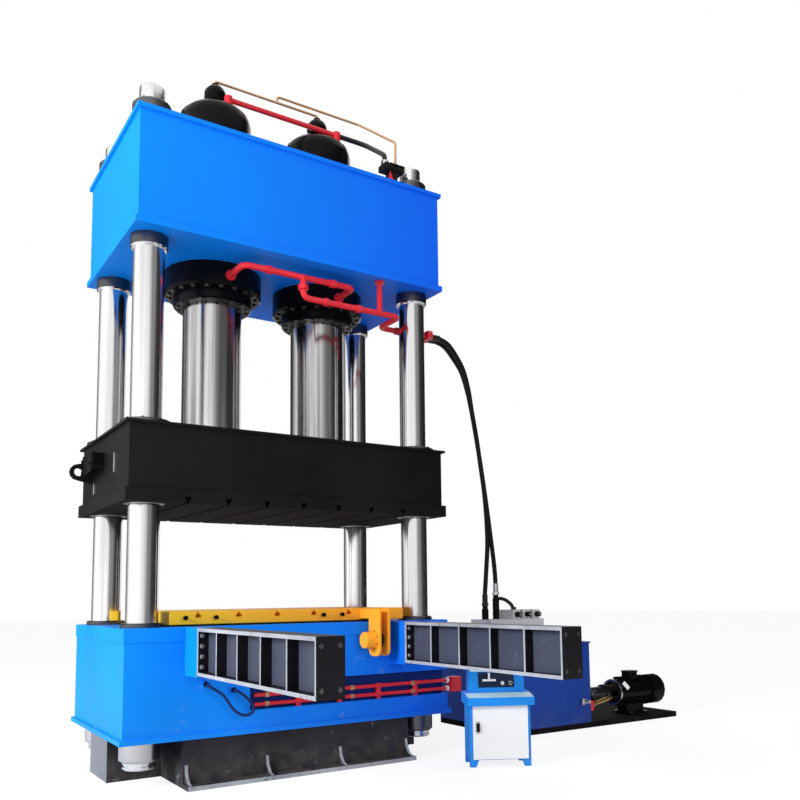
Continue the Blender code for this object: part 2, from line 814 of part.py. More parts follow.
def build_cylinders():
    """The cylinders, each with its gland ring bolted on below, which guides the plunger."""
    bore = PLUNGER_RADIUS + BORE_CLEARANCE
    gland_bore = PLUNGER_RADIUS + FIT
    bottom = CROWN_BOTTOM - CYLINDER_FLANGE_DROP
    seat = CROWN_BOTTOM - FIT
    dome = [
        (CYLINDER_BARREL_RADIUS - CYLINDER_DOME_ROUND + radius, CYLINDER_TOP - CYLINDER_DOME_ROUND + height)
        for radius, height in arc((0, 0), CYLINDER_DOME_ROUND, 90, 0)
    ]
    profile = [
        (0, CYLINDER_TOP),
        *dome,
        (CYLINDER_BARREL_RADIUS, seat),
        (CYLINDER_FLANGE_RADIUS, seat),
        (CYLINDER_FLANGE_RADIUS, bottom + CYLINDER_CHAMFER),
        (CYLINDER_FLANGE_RADIUS - CYLINDER_CHAMFER, bottom),
        (GLAND_RADIUS, bottom),
        (GLAND_RADIUS, GLAND_BOTTOM + GLAND_CHAMFER),
        (GLAND_RADIUS - GLAND_CHAMFER, GLAND_BOTTOM),
        (gland_bore, GLAND_BOTTOM),
        (gland_bore, bottom),
        (bore, bottom),
        (bore, CYLINDER_TOP - CYLINDER_END_WALL),
        (0, CYLINDER_TOP - CYLINDER_END_WALL),
    ]
    for side, right in SIDES:
        cylinder = turned(f"main_cylinder_{side}", profile, (right * CYLINDER_X, 0, 0), segments=BIG_ROUND)
        dress(cylinder, "machine_black")


def build_plungers():
    low = SLIDE_TOP + FIT
    high = low + PLUNGER_LENGTH
    profile = [
        (0, high),
        (PLUNGER_RADIUS - PLUNGER_CHAMFER, high),
        (PLUNGER_RADIUS, high - PLUNGER_CHAMFER),
        (PLUNGER_RADIUS, low),
        (0, low),
    ]
    for side, right in SIDES:
        plunger = turned(f"plunger_{side}", profile, (right * CYLINDER_X, 0, 0), segments=BIG_ROUND)
        dress(plunger, "ground_steel", (right * CYLINDER_X, 0, low))


def build_prefill_valves():
    seat = CYLINDER_TOP + FIT
    flange_top = seat + VALVE_FLANGE_HEIGHT
    ball = CYLINDER_TOP + VALVE_BALL_RISE
    neck_angle = math.degrees(math.acos(VALVE_NECK_RADIUS / VALVE_BALL_RADIUS))
    stub_angle = math.degrees(math.acos(VALVE_STUB_RADIUS / VALVE_BALL_RADIUS))
    body = arc((0, ball), VALVE_BALL_RADIUS, stub_angle, -neck_angle, 2 * ARC_STEPS)
    stub_top = CYLINDER_TOP + VALVE_STUB_RISE
    profile = [
        (0, stub_top),
        (VALVE_STUB_RADIUS, stub_top),
        *body,
        (VALVE_NECK_RADIUS, flange_top),
        (VALVE_FLANGE_RADIUS, flange_top),
        (VALVE_FLANGE_RADIUS, seat),
        (0, seat),
    ]
    for side, right in SIDES:
        valve = turned(f"prefill_valve_{side}", profile, (right * CYLINDER_X, 0, 0), segments=SMALL_ROUND)
        dress(valve, "machine_black")


def lug_plate():
    """The lifting lug on the slide's left face: a plate with a rounded nose round its hole."""
    root = -SLIDE_LENGTH / 2 + SLIDE_LIP + LET_IN
    centre = (-SLIDE_LENGTH / 2 - LUG_REACH, SLIDE_BOTTOM + LUG_RISE)
    outline = [
        (root, centre[1] + LUG_SEAT_HEIGHT / 2),
        *arc(centre, LUG_RADIUS, 90, 270, 2 * ARC_STEPS),
        (root, centre[1] - LUG_SEAT_HEIGHT / 2),
    ]
    hole = list(arc(centre, LUG_HOLE_RADIUS, 0, 330, 2 * ARC_STEPS + 1))
    upright = Matrix.Translation((0, LUG_Y, 0)) @ Matrix.Rotation(math.radians(90), 4, "X")
    return plate("lifting_lug", outline, LUG_THICKNESS, upright, [hole])


def build_slide():
    length, width = SLIDE_LENGTH / 2, SLIDE_WIDTH / 2
    slide = box(
        "slide_beam",
        (-length + SLIDE_LIP, -width + SLIDE_LIP, SLIDE_BOTTOM + LET_IN),
        (length - SLIDE_LIP, width - SLIDE_LIP, SLIDE_TOP - LET_IN),
    )
    join(
        slide,
        box("flange", (-length, -width, SLIDE_BOTTOM), (length, width, SLIDE_BOTTOM + SLIDE_BOTTOM_FLANGE)),
        box("top", (-length, -width, SLIDE_TOP - SLIDE_TOP_PLATE), (length, width, SLIDE_TOP)),
        lug_plate(),
    )
    cut(slide, *column_holes(BUSH_SLEEVE_RADIUS + FIT, SLIDE_BOTTOM, SLIDE_TOP))
    for i in range(SLIDE_SLOT_COUNT):
        x = (i - (SLIDE_SLOT_COUNT - 1) / 2) * SLIDE_SLOT_PITCH
        cut(slide, *t_slot(f"slot_{i}", x, -width - OVERRUN, width + OVERRUN, SLIDE_BOTTOM, 1))
    dress(slide, "machine_black")


def build_guide_bushes():
    bore = COLUMN_RADIUS + RUNNING_FIT
    seat = SLIDE_TOP + FIT
    top = seat + BUSH_FLANGE_HEIGHT
    profile = [
        (bore, top),
        (BUSH_FLANGE_RADIUS - BUSH_CHAMFER, top),
        (BUSH_FLANGE_RADIUS, top - BUSH_CHAMFER),
        (BUSH_FLANGE_RADIUS, seat),
        (BUSH_SLEEVE_RADIUS, seat),
        (BUSH_SLEEVE_RADIUS, SLIDE_BOTTOM),
        (bore, SLIDE_BOTTOM),
    ]
    for place, x, y in column_places():
        dress(turned(f"guide_bush_{place}", profile, (x, y, 0), ring=True), "dark_steel")


def build_switch_box():
    face = -SLIDE_LENGTH / 2 + SLIDE_LIP - FIT
    low = SLIDE_BOTTOM + SWITCH_BOX_RISE
    front, rear = SWITCH_BOX_Y - SWITCH_BOX_WIDTH / 2, SWITCH_BOX_Y + SWITCH_BOX_WIDTH / 2
    high = low + SWITCH_BOX_HEIGHT
    case = box("slide_switch_box", (face - SWITCH_BOX_DEPTH, front, low), (face, rear, high))
    lip = SWITCH_BOX_LID_LIP
    lid = box(
        "lid",
        (face - SWITCH_BOX_DEPTH - SWITCH_BOX_LID, front - lip, low - lip),
        (face - SWITCH_BOX_DEPTH + LET_IN, rear + lip, high + lip),
    )
    dress(join(case, lid), "machine_black")


def build_bed():
    length, width = BED_LENGTH / 2, BED_WIDTH / 2
    lip = BED_TOP_LIP
    bed = box("bed_beam", (-length, -width, BASE_HEIGHT), (length, width, BED_TOP - LET_IN))
    join(
        bed,
        box(
            "lip",
            (-length - lip, -width - lip, BED_TOP - BED_TOP_LIP_HEIGHT),
            (length + lip, width + lip, BED_TOP),
        ),
        box(
            "bottom_plate",
            (-length - BED_BOTTOM_LIP, -width - BED_BOTTOM_LIP, BASE_HEIGHT + FIT),
            (length + BED_BOTTOM_LIP, width + BED_BOTTOM_LIP, BASE_HEIGHT + BED_BOTTOM_PLATE),
        ),
    )
    for x, y, z in (CABLE_ROUTE[0], CABLE_ROUTE[-1]):
        boss = rod("boss", (x, BED_FRONT + LET_IN, z), (x, y + FIT, z), CABLE_BOSS_RADIUS, segments=SMALL_ROUND)
        join(bed, boss)
    floor = BASE_HEIGHT + CHANNEL_FLOOR
    channel = box(
        "channel",
        (CHANNEL_LEFT, -width - OVERRUN, floor),
        (length + OVERRUN, -width + CHANNEL_DEPTH, floor + CHANNEL_HEIGHT),
    )
    cut(bed, channel, *column_holes(COLUMN_RADIUS + FIT, BASE_HEIGHT, BED_TOP))
    trim_bottom = box(
        "trim",
        (-length - OVERRUN, -width - OVERRUN, BASE_HEIGHT - OVERRUN),
        (length + OVERRUN, width + OVERRUN, BASE_HEIGHT + FIT),
    )
    dress(cut(bed, trim_bottom), "frame_blue")


def build_rail_stubs():
    """The bed's two brackets that carry the rails, notched around its top lip."""
    front = BED_FRONT - STUB_LENGTH
    lip = BED_FRONT - BED_TOP_LIP - FIT
    for side, right in SIDES:
        left_face, right_face = right * RAIL_X - RAIL_WIDTH / 2, right * RAIL_X + RAIL_WIDTH / 2
        stub = box(
            f"rail_stub_{side}",
            (left_face, front, BED_TOP - STUB_HEIGHT),
            (right_face, BED_FRONT - FIT, BED_TOP),
        )
        notch = box(
            "notch",
            (left_face - OVERRUN, lip, BED_TOP - BED_TOP_LIP_HEIGHT - FIT),
            (right_face + OVERRUN, BED_FRONT + OVERRUN, BED_TOP + OVERRUN),
        )
        dress(cut(stub, notch), "frame_blue")


def gusset(name, x, side):
    """A foot gusset with a hollow curved edge, standing on the foot plate against the base's wall."""
    run = (BASE_FOOT_WIDTH - BASE_WIDTH) / 2 - GUSSET_TIP
    rise = GUSSET_HEIGHT
    wall = BASE_WIDTH / 2
    edge = [(run * (1 - math.sin(t)), rise * (1 - math.cos(t))) for t in
            (math.pi / 2 * i / ARC_STEPS for i in range(ARC_STEPS + 1))]
    outline = [(-LET_IN, -LET_IN), (run, -LET_IN), *edge, (-LET_IN, rise)]
    foot = BASE_FOOT_THICKNESS
    upright = Matrix.Translation((x, side * wall, foot)) @ Matrix(
        ((0, 0, 1, 0), (side, 0, 0, 0), (0, 1, 0, 0), (0, 0, 0, 1))
    )
    return plate(name, outline, GUSSET_THICKNESS, upright)


def build_base():
    length, width, foot = BASE_HALF_LENGTH, BASE_WIDTH / 2, BASE_FOOT_WIDTH / 2
    base = box("base_frame", (-length, -width, 0), (length, width, BASE_HEIGHT))
    join(base, box("foot", (-length, -foot, 0), (length, foot, BASE_FOOT_THICKNESS)))
    wing, half = length + BASE_WING_LENGTH, BASE_WING_WIDTH / 2
    join(base, box("wings", (-wing, -half, 0), (wing, half, BASE_HEIGHT - LET_IN)))
    reach = length - GUSSET_THICKNESS
    for i in range(GUSSET_COUNT):
        x = reach * (2 * i / (GUSSET_COUNT - 1) - 1)
        for name, side in DEPTHS:
            join(base, gusset(f"gusset_{name}_{i}", x, side))
    dress(base, "machine_black")


def build_rails():
    root = BED_FRONT - STUB_LENGTH - FIT
    tip = root - RAIL_LENGTH
    low = BED_TOP - RAIL_HEIGHT
    half = RAIL_WIDTH / 2
    for side, right in SIDES:
        x = right * RAIL_X
        rail = box(f"rail_{side}", (x - half, tip, BED_TOP - RAIL_FLANGE), (x + half, root, BED_TOP))
        join(
            rail,
            box("web", (x - RAIL_WEB / 2, tip, low + LET_IN), (x + RAIL_WEB / 2, root, BED_TOP - LET_IN)),
            box("lower", (x - half, tip, low), (x + half, root, low + RAIL_FLANGE)),
            box("end", (x - half, tip, low), (x + half, tip + RAIL_END_PLATE, BED_TOP)),
            box("root", (x - half, root - RAIL_ROOT_PLATE, low), (x + half, root, BED_TOP)),
        )
        for i in range(1, RAIL_BAYS):
            y = tip + RAIL_LENGTH * i / RAIL_BAYS
            stiffener = box(
                "stiffener",
                (x - half + LET_IN, y - RAIL_STIFFENER / 2, low + LET_IN),
                (x + half - LET_IN, y + RAIL_STIFFENER / 2, BED_TOP - LET_IN),
            )
            join(rail, stiffener)
        dress(rail, "rail_grey")


def wheel_places():
    for depth, back in DEPTHS:
        for side, right in SIDES:
            yield f"{depth}_{side}", right * RAIL_X, back * (BOLSTER_WIDTH / 2 - WHEEL_INSET)


def build_bolster():
    length, width = BOLSTER_LENGTH / 2, BOLSTER_WIDTH / 2
    bolster = box("bolster_plate", (-length, -width, BOLSTER_BOTTOM), (length, width, BOLSTER_TOP))
    bevel = bolster.modifiers.new("Bevel", "BEVEL")
    bevel.width = BOLSTER_CHAMFER
    bevel.segments = 1
    bolster = bake(bolster)
    for i in range(BOLSTER_SLOT_COUNT):
        x = (i - (BOLSTER_SLOT_COUNT - 1) / 2) * BOLSTER_SLOT_PITCH
        cut(bolster, *t_slot(f"slot_{i}", x, -width - OVERRUN, width + OVERRUN, BOLSTER_TOP, -1))
    axle = BED_TOP + FIT + WHEEL_RADIUS
    half = WHEEL_WIDTH / 2 + WHEEL_SIDE_GAP
    long = WHEEL_RADIUS + WHEEL_TIP_GAP
    reach = half + JOURNAL_LENGTH
    bore = (JOURNAL_RADIUS + FIT) / math.cos(math.pi / SMALL_ROUND)
    for place, x, y in wheel_places():
        pocket = box(
            f"pocket_{place}", (x - half, y - long, BOLSTER_BOTTOM - OVERRUN), (x + half, y + long, axle + long)
        )
        seat = rod(f"seat_{place}", (x - reach, y, axle), (x + reach, y, axle), bore, segments=SMALL_ROUND)
        way_in = box(
            f"way_{place}", (x - reach, y - bore, BOLSTER_BOTTOM - OVERRUN), (x + reach, y + bore, axle)
        )
        cut(bolster, pocket, seat, way_in)
    dress(bolster, "bolster_yellow")


def build_wheels():
    axle = BED_TOP + FIT + WHEEL_RADIUS
    half = WHEEL_WIDTH / 2
    journal = half + WHEEL_SIDE_GAP + JOURNAL_LENGTH - FIT
    profile = [
        (0, journal),
        (JOURNAL_RADIUS, journal),
        (JOURNAL_RADIUS, half),
        (WHEEL_RADIUS - WHEEL_CHAMFER, half),
        (WHEEL_RADIUS, half - WHEEL_CHAMFER),
        (WHEEL_RADIUS, -half + WHEEL_CHAMFER),
        (WHEEL_RADIUS - WHEEL_CHAMFER, -half),
        (JOURNAL_RADIUS, -half),
        (JOURNAL_RADIUS, -journal),
        (0, -journal),
    ]
    for place, x, y in wheel_places():
        wheel = turned(f"bolster_wheel_{place}", profile, (x, y, axle), AXIS_X)
        dress(wheel, "ground_steel", (x, y, axle))


def drive_axis():
    return -DRIVE_PLATE_FRONT + DRIVE_PLATE_WIDTH / 2, BOLSTER_TOP - DRIVE_MOTOR_DROP


def build_drive():
    root = -BOLSTER_WIDTH / 2 - FIT
    left = DRIVE_PLATE_X - DRIVE_PLATE_THICKNESS / 2
    right = DRIVE_PLATE_X + DRIVE_PLATE_GAP + DRIVE_PLATE_THICKNESS / 2
    top = BOLSTER_TOP - BOLSTER_CHAMFER
    arm = box(
        "drive_bracket",
        (left + LET_IN, root - DRIVE_ARM_LENGTH, top - DRIVE_ARM_HEIGHT),
        (right - LET_IN, root, top - LET_IN),
    )
    y, z = drive_axis()
    front, rear = -DRIVE_PLATE_FRONT, -DRIVE_PLATE_FRONT + DRIVE_PLATE_WIDTH
    bottom = top - DRIVE_PLATE_DROP
    corner = DRIVE_CORNER
    outline = [
        (front, top),
        *arc((front + corner, bottom + corner), corner, 180, 270),
        *arc((rear - corner, bottom + corner), corner, 270, 360),
        (rear, top),
    ]
    facing = Matrix(((0, 0, 1, 0), (1, 0, 0, 0), (0, 1, 0, 0), (0, 0, 0, 1)))
    for x in (DRIVE_PLATE_X, DRIVE_PLATE_X + DRIVE_PLATE_GAP):
        cheek = plate("cheek", outline, DRIVE_PLATE_THICKNESS, Matrix.Translation((x, 0, 0)) @ facing)
        join(arm, cheek)
    shaft_hole = rod(
        "shaft_hole", (left - OVERRUN, y, z), (right + OVERRUN, y, z), DRIVE_SHAFT_RADIUS + FIT, segments=SMALL_ROUND
    )
    dress(cut(arm, shaft_hole), "bolster_yellow")

    face = left - FIT
    back = face - DRIVE_MOTOR_FLANGE
    end = back - DRIVE_MOTOR_LENGTH
    profile = [
        (0, right + DRIVE_SHAFT_END),
        (DRIVE_SHAFT_RADIUS, right + DRIVE_SHAFT_END),
        (DRIVE_SHAFT_RADIUS, face),
        (DRIVE_MOTOR_FLANGE_RADIUS, face),
        (DRIVE_MOTOR_FLANGE_RADIUS, back),
        (DRIVE_MOTOR_RADIUS, back),
        (DRIVE_MOTOR_RADIUS, end + DRIVE_MOTOR_CHAMFER),
        (DRIVE_MOTOR_RADIUS - DRIVE_MOTOR_CHAMFER, end),
        (0, end),
    ]
    dress(turned("drive_motor", profile, (0, y, z), AXIS_X, SMALL_ROUND), "bolster_yellow")


def build_pressure_pipe():
    """The pipe between both cylinders' fronts, its branch and riser, and the block that the hoses start from."""
    high = CROWN_BOTTOM - PRESSURE_PIPE_DROP
    low = CROWN_BOTTOM - CROSS_PIPE_DROP
    port = -CYLINDER_FLANGE_RADIUS * math.cos(math.pi / BIG_ROUND) - FIT - COLUMN_EDGE
    front = PRESSURE_PIPE_Y
    loop = [(-CYLINDER_X, port, high), (-CYLINDER_X, front, high), (CYLINDER_X, front, high), (CYLINDER_X, port, high)]
    pipe = tube("pressure_pipe", bent_route(loop, PIPE_BEND), PIPE_RADIUS)
    branch = [
        (CROSS_PIPE_X, front, high + LET_IN),
        (CROSS_PIPE_X, front, low),
        (CROSS_PIPE_END_X, front, low),
        (CROSS_PIPE_END_X, TAIL_PIPE_Y, low),
        (TAIL_PIPE_END_X, TAIL_PIPE_Y, low),
    ]
    join(
        pipe,
        tube("branch", bent_route(branch, PIPE_BEND), PIPE_RADIUS),
        tube("riser", [(RISER_X, front, low - LET_IN), (RISER_X, front, CROWN_BOTTOM - FIT - LET_IN)], RISER_RADIUS),
    )
    level = (high + low) / 2
    join(
        pipe,
        rod(
            "branch_flange",
            (CROSS_PIPE_X, front, level - RISER_FLANGE_HEIGHT),
            (CROSS_PIPE_X, front, level + RISER_FLANGE_HEIGHT),
            RISER_FLANGE_RADIUS,
            segments=SMALL_ROUND,
        ),
        rod(
            "riser_flange",
            (RISER_X, front, CROWN_BOTTOM - FIT - RISER_FLANGE_HEIGHT),
            (RISER_X, front, CROWN_BOTTOM - FIT),
            RISER_FLANGE_RADIUS,
            segments=SMALL_ROUND,
        ),
    )
    for side, right in SIDES:
        x = right * CYLINDER_X
        face = -CYLINDER_FLANGE_RADIUS - FIT
        flange = rod(
            "port_flange",
            (x, port - RISER_FLANGE_HEIGHT, high),
            (x, face, high),
            RISER_FLANGE_RADIUS,
            segments=SMALL_ROUND,
        )
        join(pipe, flange)
    middle = TAIL_PIPE_Y + HOSE_BLOCK_OFFSET / 2
    right = HOSE_A_ROUTE[0][0] - FIT
    level = HOSE_A_ROUTE[0][2]
    block = box(
        "block",
        (right - HOSE_BLOCK_LENGTH, middle - HOSE_BLOCK_WIDTH / 2, level - HOSE_BLOCK_HEIGHT / 2),
        (right, middle + HOSE_BLOCK_WIDTH / 2, level + HOSE_BLOCK_HEIGHT / 2),
    )
    dress(join(pipe, block), "pipe_red")


def build_return_pipe():
    """The pipe over both cylinders' tops, and the block on the crown where it ends."""
    level = CYLINDER_TOP + RETURN_PIPE_RISE
    seat = CYLINDER_TOP + FIT
    block_top = CROWN_TOP + FIT + PIPE_BLOCK_HEIGHT
    route = [
        (RETURN_PIPE_LEFT_X, RETURN_PIPE_Y, level),
        (RETURN_PIPE_RIGHT_X, RETURN_PIPE_Y, level),
        (RETURN_END_X, PIPE_BLOCK_Y, block_top + RETURN_PIPE_BEND),
        (RETURN_END_X, PIPE_BLOCK_Y, block_top - LET_IN),
    ]
    pipe = tube("return_pipe", bent_route(route, RETURN_PIPE_BEND), RETURN_PIPE_RADIUS)
    foot_top = level + RETURN_PIPE_RADIUS + LET_IN
    for x in (RETURN_PIPE_LEFT_X, RETURN_PIPE_FOOT_X):
        low, high = (x, RETURN_PIPE_Y, seat), (x, RETURN_PIPE_Y, foot_top)
        foot = rod("foot", low, high, RETURN_FOOT_RADIUS, segments=SMALL_ROUND)
        join(pipe, foot)
    half_x, half_y, half_foot = PIPE_BLOCK_LENGTH / 2, PIPE_BLOCK_WIDTH / 2, PIPE_BLOCK_FOOT / 2
    head = box(
        "head",
        (PIPE_BLOCK_X - half_x, PIPE_BLOCK_Y - half_y, block_top - PIPE_BLOCK_HEAD),
        (PIPE_BLOCK_X + half_x, PIPE_BLOCK_Y + half_y, block_top),
    )
    foot = box(
        "block_foot",
        (PIPE_BLOCK_X - half_foot, PIPE_BLOCK_Y - half_foot, CROWN_TOP + FIT),
        (PIPE_BLOCK_X + half_foot, PIPE_BLOCK_Y + half_foot, block_top - PIPE_BLOCK_HEAD + LET_IN),
    )
    dress(join(pipe, head, foot), "pipe_red")


def build_pilot_pipe():
    """The small pipe between the two prefill valves, and its branch down to the block on the crown."""
    level = CYLINDER_TOP + PILOT_RISE
    branch_level = level + PILOT_BRANCH_RISE
    stub_top = CYLINDER_TOP + VALVE_STUB_RISE + FIT
    main = [(-CYLINDER_X, 0, stub_top), (-CYLINDER_X, 0, level), (CYLINDER_X, 0, level), (CYLINDER_X, 0, stub_top)]
    pipe = tube("pilot_pipe", bent_route(main, PILOT_BEND), PILOT_RADIUS)
    block_top = CROWN_TOP + FIT + PIPE_BLOCK_HEIGHT
    branch = [
        (PILOT_BRANCH_X, 0, level),
        (PILOT_BRANCH_X, 0, branch_level),
        (PILOT_BRANCH_END_X, 0, branch_level),
        (PILOT_END_X, PIPE_BLOCK_Y, CROWN_TOP + PILOT_KNEE_RISE),
        (PILOT_END_X, PIPE_BLOCK_Y, block_top + FIT),
    ]
    dress(join(pipe, tube("branch", bent_route(branch, PILOT_BEND), PILOT_RADIUS)), "pipe_brass")


def build_bed_pipes():
    """Two pipes clamped in the bed's front channel, and the block at their right end."""
    floor = BASE_HEIGHT + CHANNEL_FLOOR
    y = BED_FRONT + BED_PIPE_SETBACK
    left, right = CHANNEL_LEFT + BED_PIPE_START, BED_LENGTH / 2 + BED_PIPE_REACH
    levels = (floor + BED_PIPE_RISE, floor + BED_PIPE_RISE + BED_PIPE_SPACING)
    block = box(
        "bed_pipes",
        (right - LET_IN, y - BED_BLOCK_DEPTH / 2, levels[0] - BED_BLOCK_MARGIN),
        (right + BED_BLOCK_LENGTH, y + BED_BLOCK_DEPTH / 2, levels[1] + BED_BLOCK_MARGIN),
    )
    for level in levels:
        join(block, tube("pipe", [(left, y, level), (right, y, level)], BED_PIPE_RADIUS))
    for i in range(BED_CLAMP_COUNT):
        x = left + (right - left) * (i + 1) / (BED_CLAMP_COUNT + 1)
        clamp = box(
            "clamp",
            (x - BED_CLAMP_LENGTH / 2, y - BED_CLAMP_DEPTH / 2, floor + FIT),
            (x + BED_CLAMP_LENGTH / 2, y + BED_CLAMP_DEPTH / 2, levels[1] + BED_PIPE_RADIUS + LET_IN),
        )
        join(block, clamp)
    dress(block, "pipe_red")


def console_frame():
    """The console's own axes: x to the operator's right, y away from the operator, z up."""
    return Matrix.Translation((CONSOLE_X, CONSOLE_Y, 0)) @ Matrix.Rotation(math.radians(CONSOLE_TURN), 4, "Z")


def panel_foot():
    """Where the back panel's face meets the desk, from the console's front to its back."""
    return CONSOLE_DEPTH / 2 - PANEL_BASE_DEPTH + PANEL_SETBACK


def panel_frame():
    """The leaning face of the console's back panel: x to the right, y up the face, z out of it."""
    foot = Vector((0, panel_foot(), CONSOLE_LEG + CONSOLE_CABINET_HEIGHT + DESK_HEIGHT))
    lean = Matrix.Rotation(math.radians(90 - PANEL_LEAN), 4, "X")
    return console_frame() @ Matrix.Translation(foot) @ lean


def placed(obj, frame, finish, at=(0, 0, 0)):
    """A piece modelled in a frame of its own, put in its place, with its origin at a point of that frame."""
    obj.data.transform(Matrix.Translation(-Vector(at)))
    obj.matrix_world = frame @ Matrix.Translation(at)
    obj.data.materials.clear()
    obj.data.materials.append(principled(finish))
    obj.data.shade_smooth()
    obj.data.set_sharp_from_angle(angle=math.radians(30))
    return obj


def door_size():
    """(left, right, low, high) of the console's door, in the console's axes."""
    half = CONSOLE_WIDTH / 2 - CONSOLE_FRAME
    low = CONSOLE_LEG + DOOR_BOTTOM_RISE
    return -half, half, low, CONSOLE_LEG + CONSOLE_CABINET_HEIGHT - DOOR_BOTTOM_RISE


def build_console_cabinet():
    half, deep = CONSOLE_WIDTH / 2, CONSOLE_DEPTH / 2
    low, high = CONSOLE_LEG, CONSOLE_LEG + CONSOLE_CABINET_HEIGHT - FIT
    cabinet = box("console_cabinet", (-half, -deep, low), (half, deep, high))
    inside = box(
        "inside",
        (-half + CONSOLE_FRAME + LET_IN, -deep - OVERRUN, low + CONSOLE_WALL),
        (half - CONSOLE_FRAME - LET_IN, deep - CONSOLE_WALL, high - CONSOLE_WALL),
    )
    cut(cabinet, inside)
    for side, right in SIDES:
        for depth, back in DEPTHS:
            inner = right * (half - CONSOLE_LEG_SIZE)
            near, far = sorted((back * deep, back * (deep - CONSOLE_LEG_SIZE)))
            outline = [
                (right * half, 0),
                (right * half, CONSOLE_LEG + LET_IN),
                (inner - right * CONSOLE_LEG_SIZE / 2, CONSOLE_LEG + LET_IN),
                (inner, 0),
            ]
            middle = (near + far) / 2
            upright = Matrix.Translation((0, middle, 0)) @ Matrix.Rotation(math.radians(90), 4, "X")
            join(cabinet, plate(f"leg_{depth}_{side}", outline, far - near, upright))
    placed(cabinet, console_frame(), "panel_blue")


def build_console_door():
    left, right, low, high = door_size()
    back = -CONSOLE_DEPTH / 2 - FIT
    front = back - DOOR_THICKNESS
    door = box("console_door", (left, front, low), (right, back, high))
    hub = (left + HANDLE_INSET, 0, low + (high - low) * HANDLE_LEVEL)
    stem = rod("stem_hole", (hub[0], front - OVERRUN, hub[2]), (hub[0], back + OVERRUN, hub[2]),
               (HANDLE_STEM_RADIUS + FIT) / math.cos(math.pi / SMALL_ROUND), segments=SMALL_ROUND)
    cut(door, stem)
    placed(door, console_frame(), "console_white", (right, (front + back) / 2, low))

    grip_back = front - FIT
    handle = box(
        "door_latch",
        (hub[0] - HANDLE_WIDTH / 2, grip_back - HANDLE_THICKNESS, hub[2] - HANDLE_HEIGHT / 2),
        (hub[0] + HANDLE_WIDTH / 2, grip_back, hub[2] + HANDLE_HEIGHT / 2),
    )
    shaft = rod("shaft", (hub[0], grip_back - LET_IN, hub[2]), (hub[0], back, hub[2]),
                HANDLE_STEM_RADIUS, segments=SMALL_ROUND)
    placed(join(handle, shaft), console_frame(), "machine_black", (hub[0], grip_back, hub[2]))


def build_console_desk():
    deep = CONSOLE_DEPTH / 2
    low = CONSOLE_LEG + CONSOLE_CABINET_HEIGHT
    top = low + DESK_HEIGHT
    front = -deep - DESK_OVERHANG
    across = Matrix(((0, 0, 1, 0), (1, 0, 0, 0), (0, 1, 0, 0), (0, 0, 0, 1)))
    outline = [(front, low), (deep, low), (deep, top), (deep - PANEL_BASE_DEPTH, top), (front, top - DESK_SLOPE_DROP)]
    desk = plate("console_desk", outline, DESK_WIDTH, across)
    lean = math.tan(math.radians(PANEL_LEAN))
    foot, rear = panel_foot(), deep - PANEL_SETBACK
    back_panel = [
        (foot - lean * PANEL_SETBACK, top - PANEL_SETBACK),
        (foot + lean * PANEL_HEIGHT, top + PANEL_HEIGHT),
        (rear, top + PANEL_HEIGHT),
        (rear, top - PANEL_SETBACK),
    ]
    join(desk, plate("back_panel", back_panel, PANEL_WIDTH, across))
    placed(desk, console_frame(), "panel_blue")

    bottom = PANEL_RECESS_RISE
    recess = box(
        "recess",
        (-PANEL_RECESS_WIDTH / 2, bottom, -PANEL_RECESS_DEPTH),
        (PANEL_RECESS_WIDTH / 2, bottom + PANEL_RECESS_HEIGHT, OVERRUN),
    )
    holes = [recess]
    stem_hole = (BUTTON_STEM_RADIUS + FIT) / math.cos(math.pi / SMALL_ROUND)
    for x, y in ((START_BUTTON_X, BUTTON_RISE), (STOP_BUTTON_X, BUTTON_RISE), (SELECTOR_X, SELECTOR_RISE)):
        depth = PANEL_RECESS_DEPTH + BUTTON_STEM_LENGTH + BUTTON_TRAVEL + FIT
        holes.append(rod("stem_hole", (x, y, -depth), (x, y, OVERRUN), stem_hole, segments=SMALL_ROUND))
    for hole in holes:
        hole.data.transform(panel_frame())
    desk.data.transform(desk.matrix_world)
    desk.matrix_world = Matrix.Identity(4)
    bpy.context.view_layer.update()
    cut(desk, *holes)
    dress(desk, "panel_blue")


def build_console_controls():
    face = -PANEL_RECESS_DEPTH
    buttons = (
        ("start_button", START_BUTTON_X, "console_white"),
        ("stop_button", STOP_BUTTON_X, "dark_steel"),
    )
    for name, x, finish in buttons:
        lift = face + BUTTON_TRAVEL + FIT
        profile = [
            (0, lift + BUTTON_HEIGHT),
            (BUTTON_RADIUS - BUTTON_TRAVEL / 2, lift + BUTTON_HEIGHT),
            (BUTTON_RADIUS, lift + BUTTON_HEIGHT - BUTTON_TRAVEL / 2),
            (BUTTON_RADIUS, lift),
            (BUTTON_STEM_RADIUS, lift),
            (BUTTON_STEM_RADIUS, face - BUTTON_STEM_LENGTH),
            (0, face - BUTTON_STEM_LENGTH),
        ]
        button = turned(name, profile, (x, BUTTON_RISE, 0), segments=SMALL_ROUND)
        placed(button, panel_frame(), finish, (x, BUTTON_RISE, face))

    low = face + FIT
    high = low + SELECTOR_BAR_HEIGHT
    x, y = SELECTOR_X, SELECTOR_RISE
    half, long = SELECTOR_BAR_WIDTH / 2, SELECTOR_BAR_LENGTH / 2
    bar = box("selector_switch", (x - long, y - half, low), (x + long, y + half, high))
    grip = box("grip", (x - half, y, low + LET_IN), (x + half, y + SELECTOR_GRIP_LENGTH, high + LET_IN))
    stem_foot = (x, y, face - BUTTON_STEM_LENGTH)
    stem = rod("stem", stem_foot, (x, y, low + LET_IN), BUTTON_STEM_RADIUS, segments=SMALL_ROUND)
    placed(join(bar, grip, stem), panel_frame(), "console_white", (x, y, face))


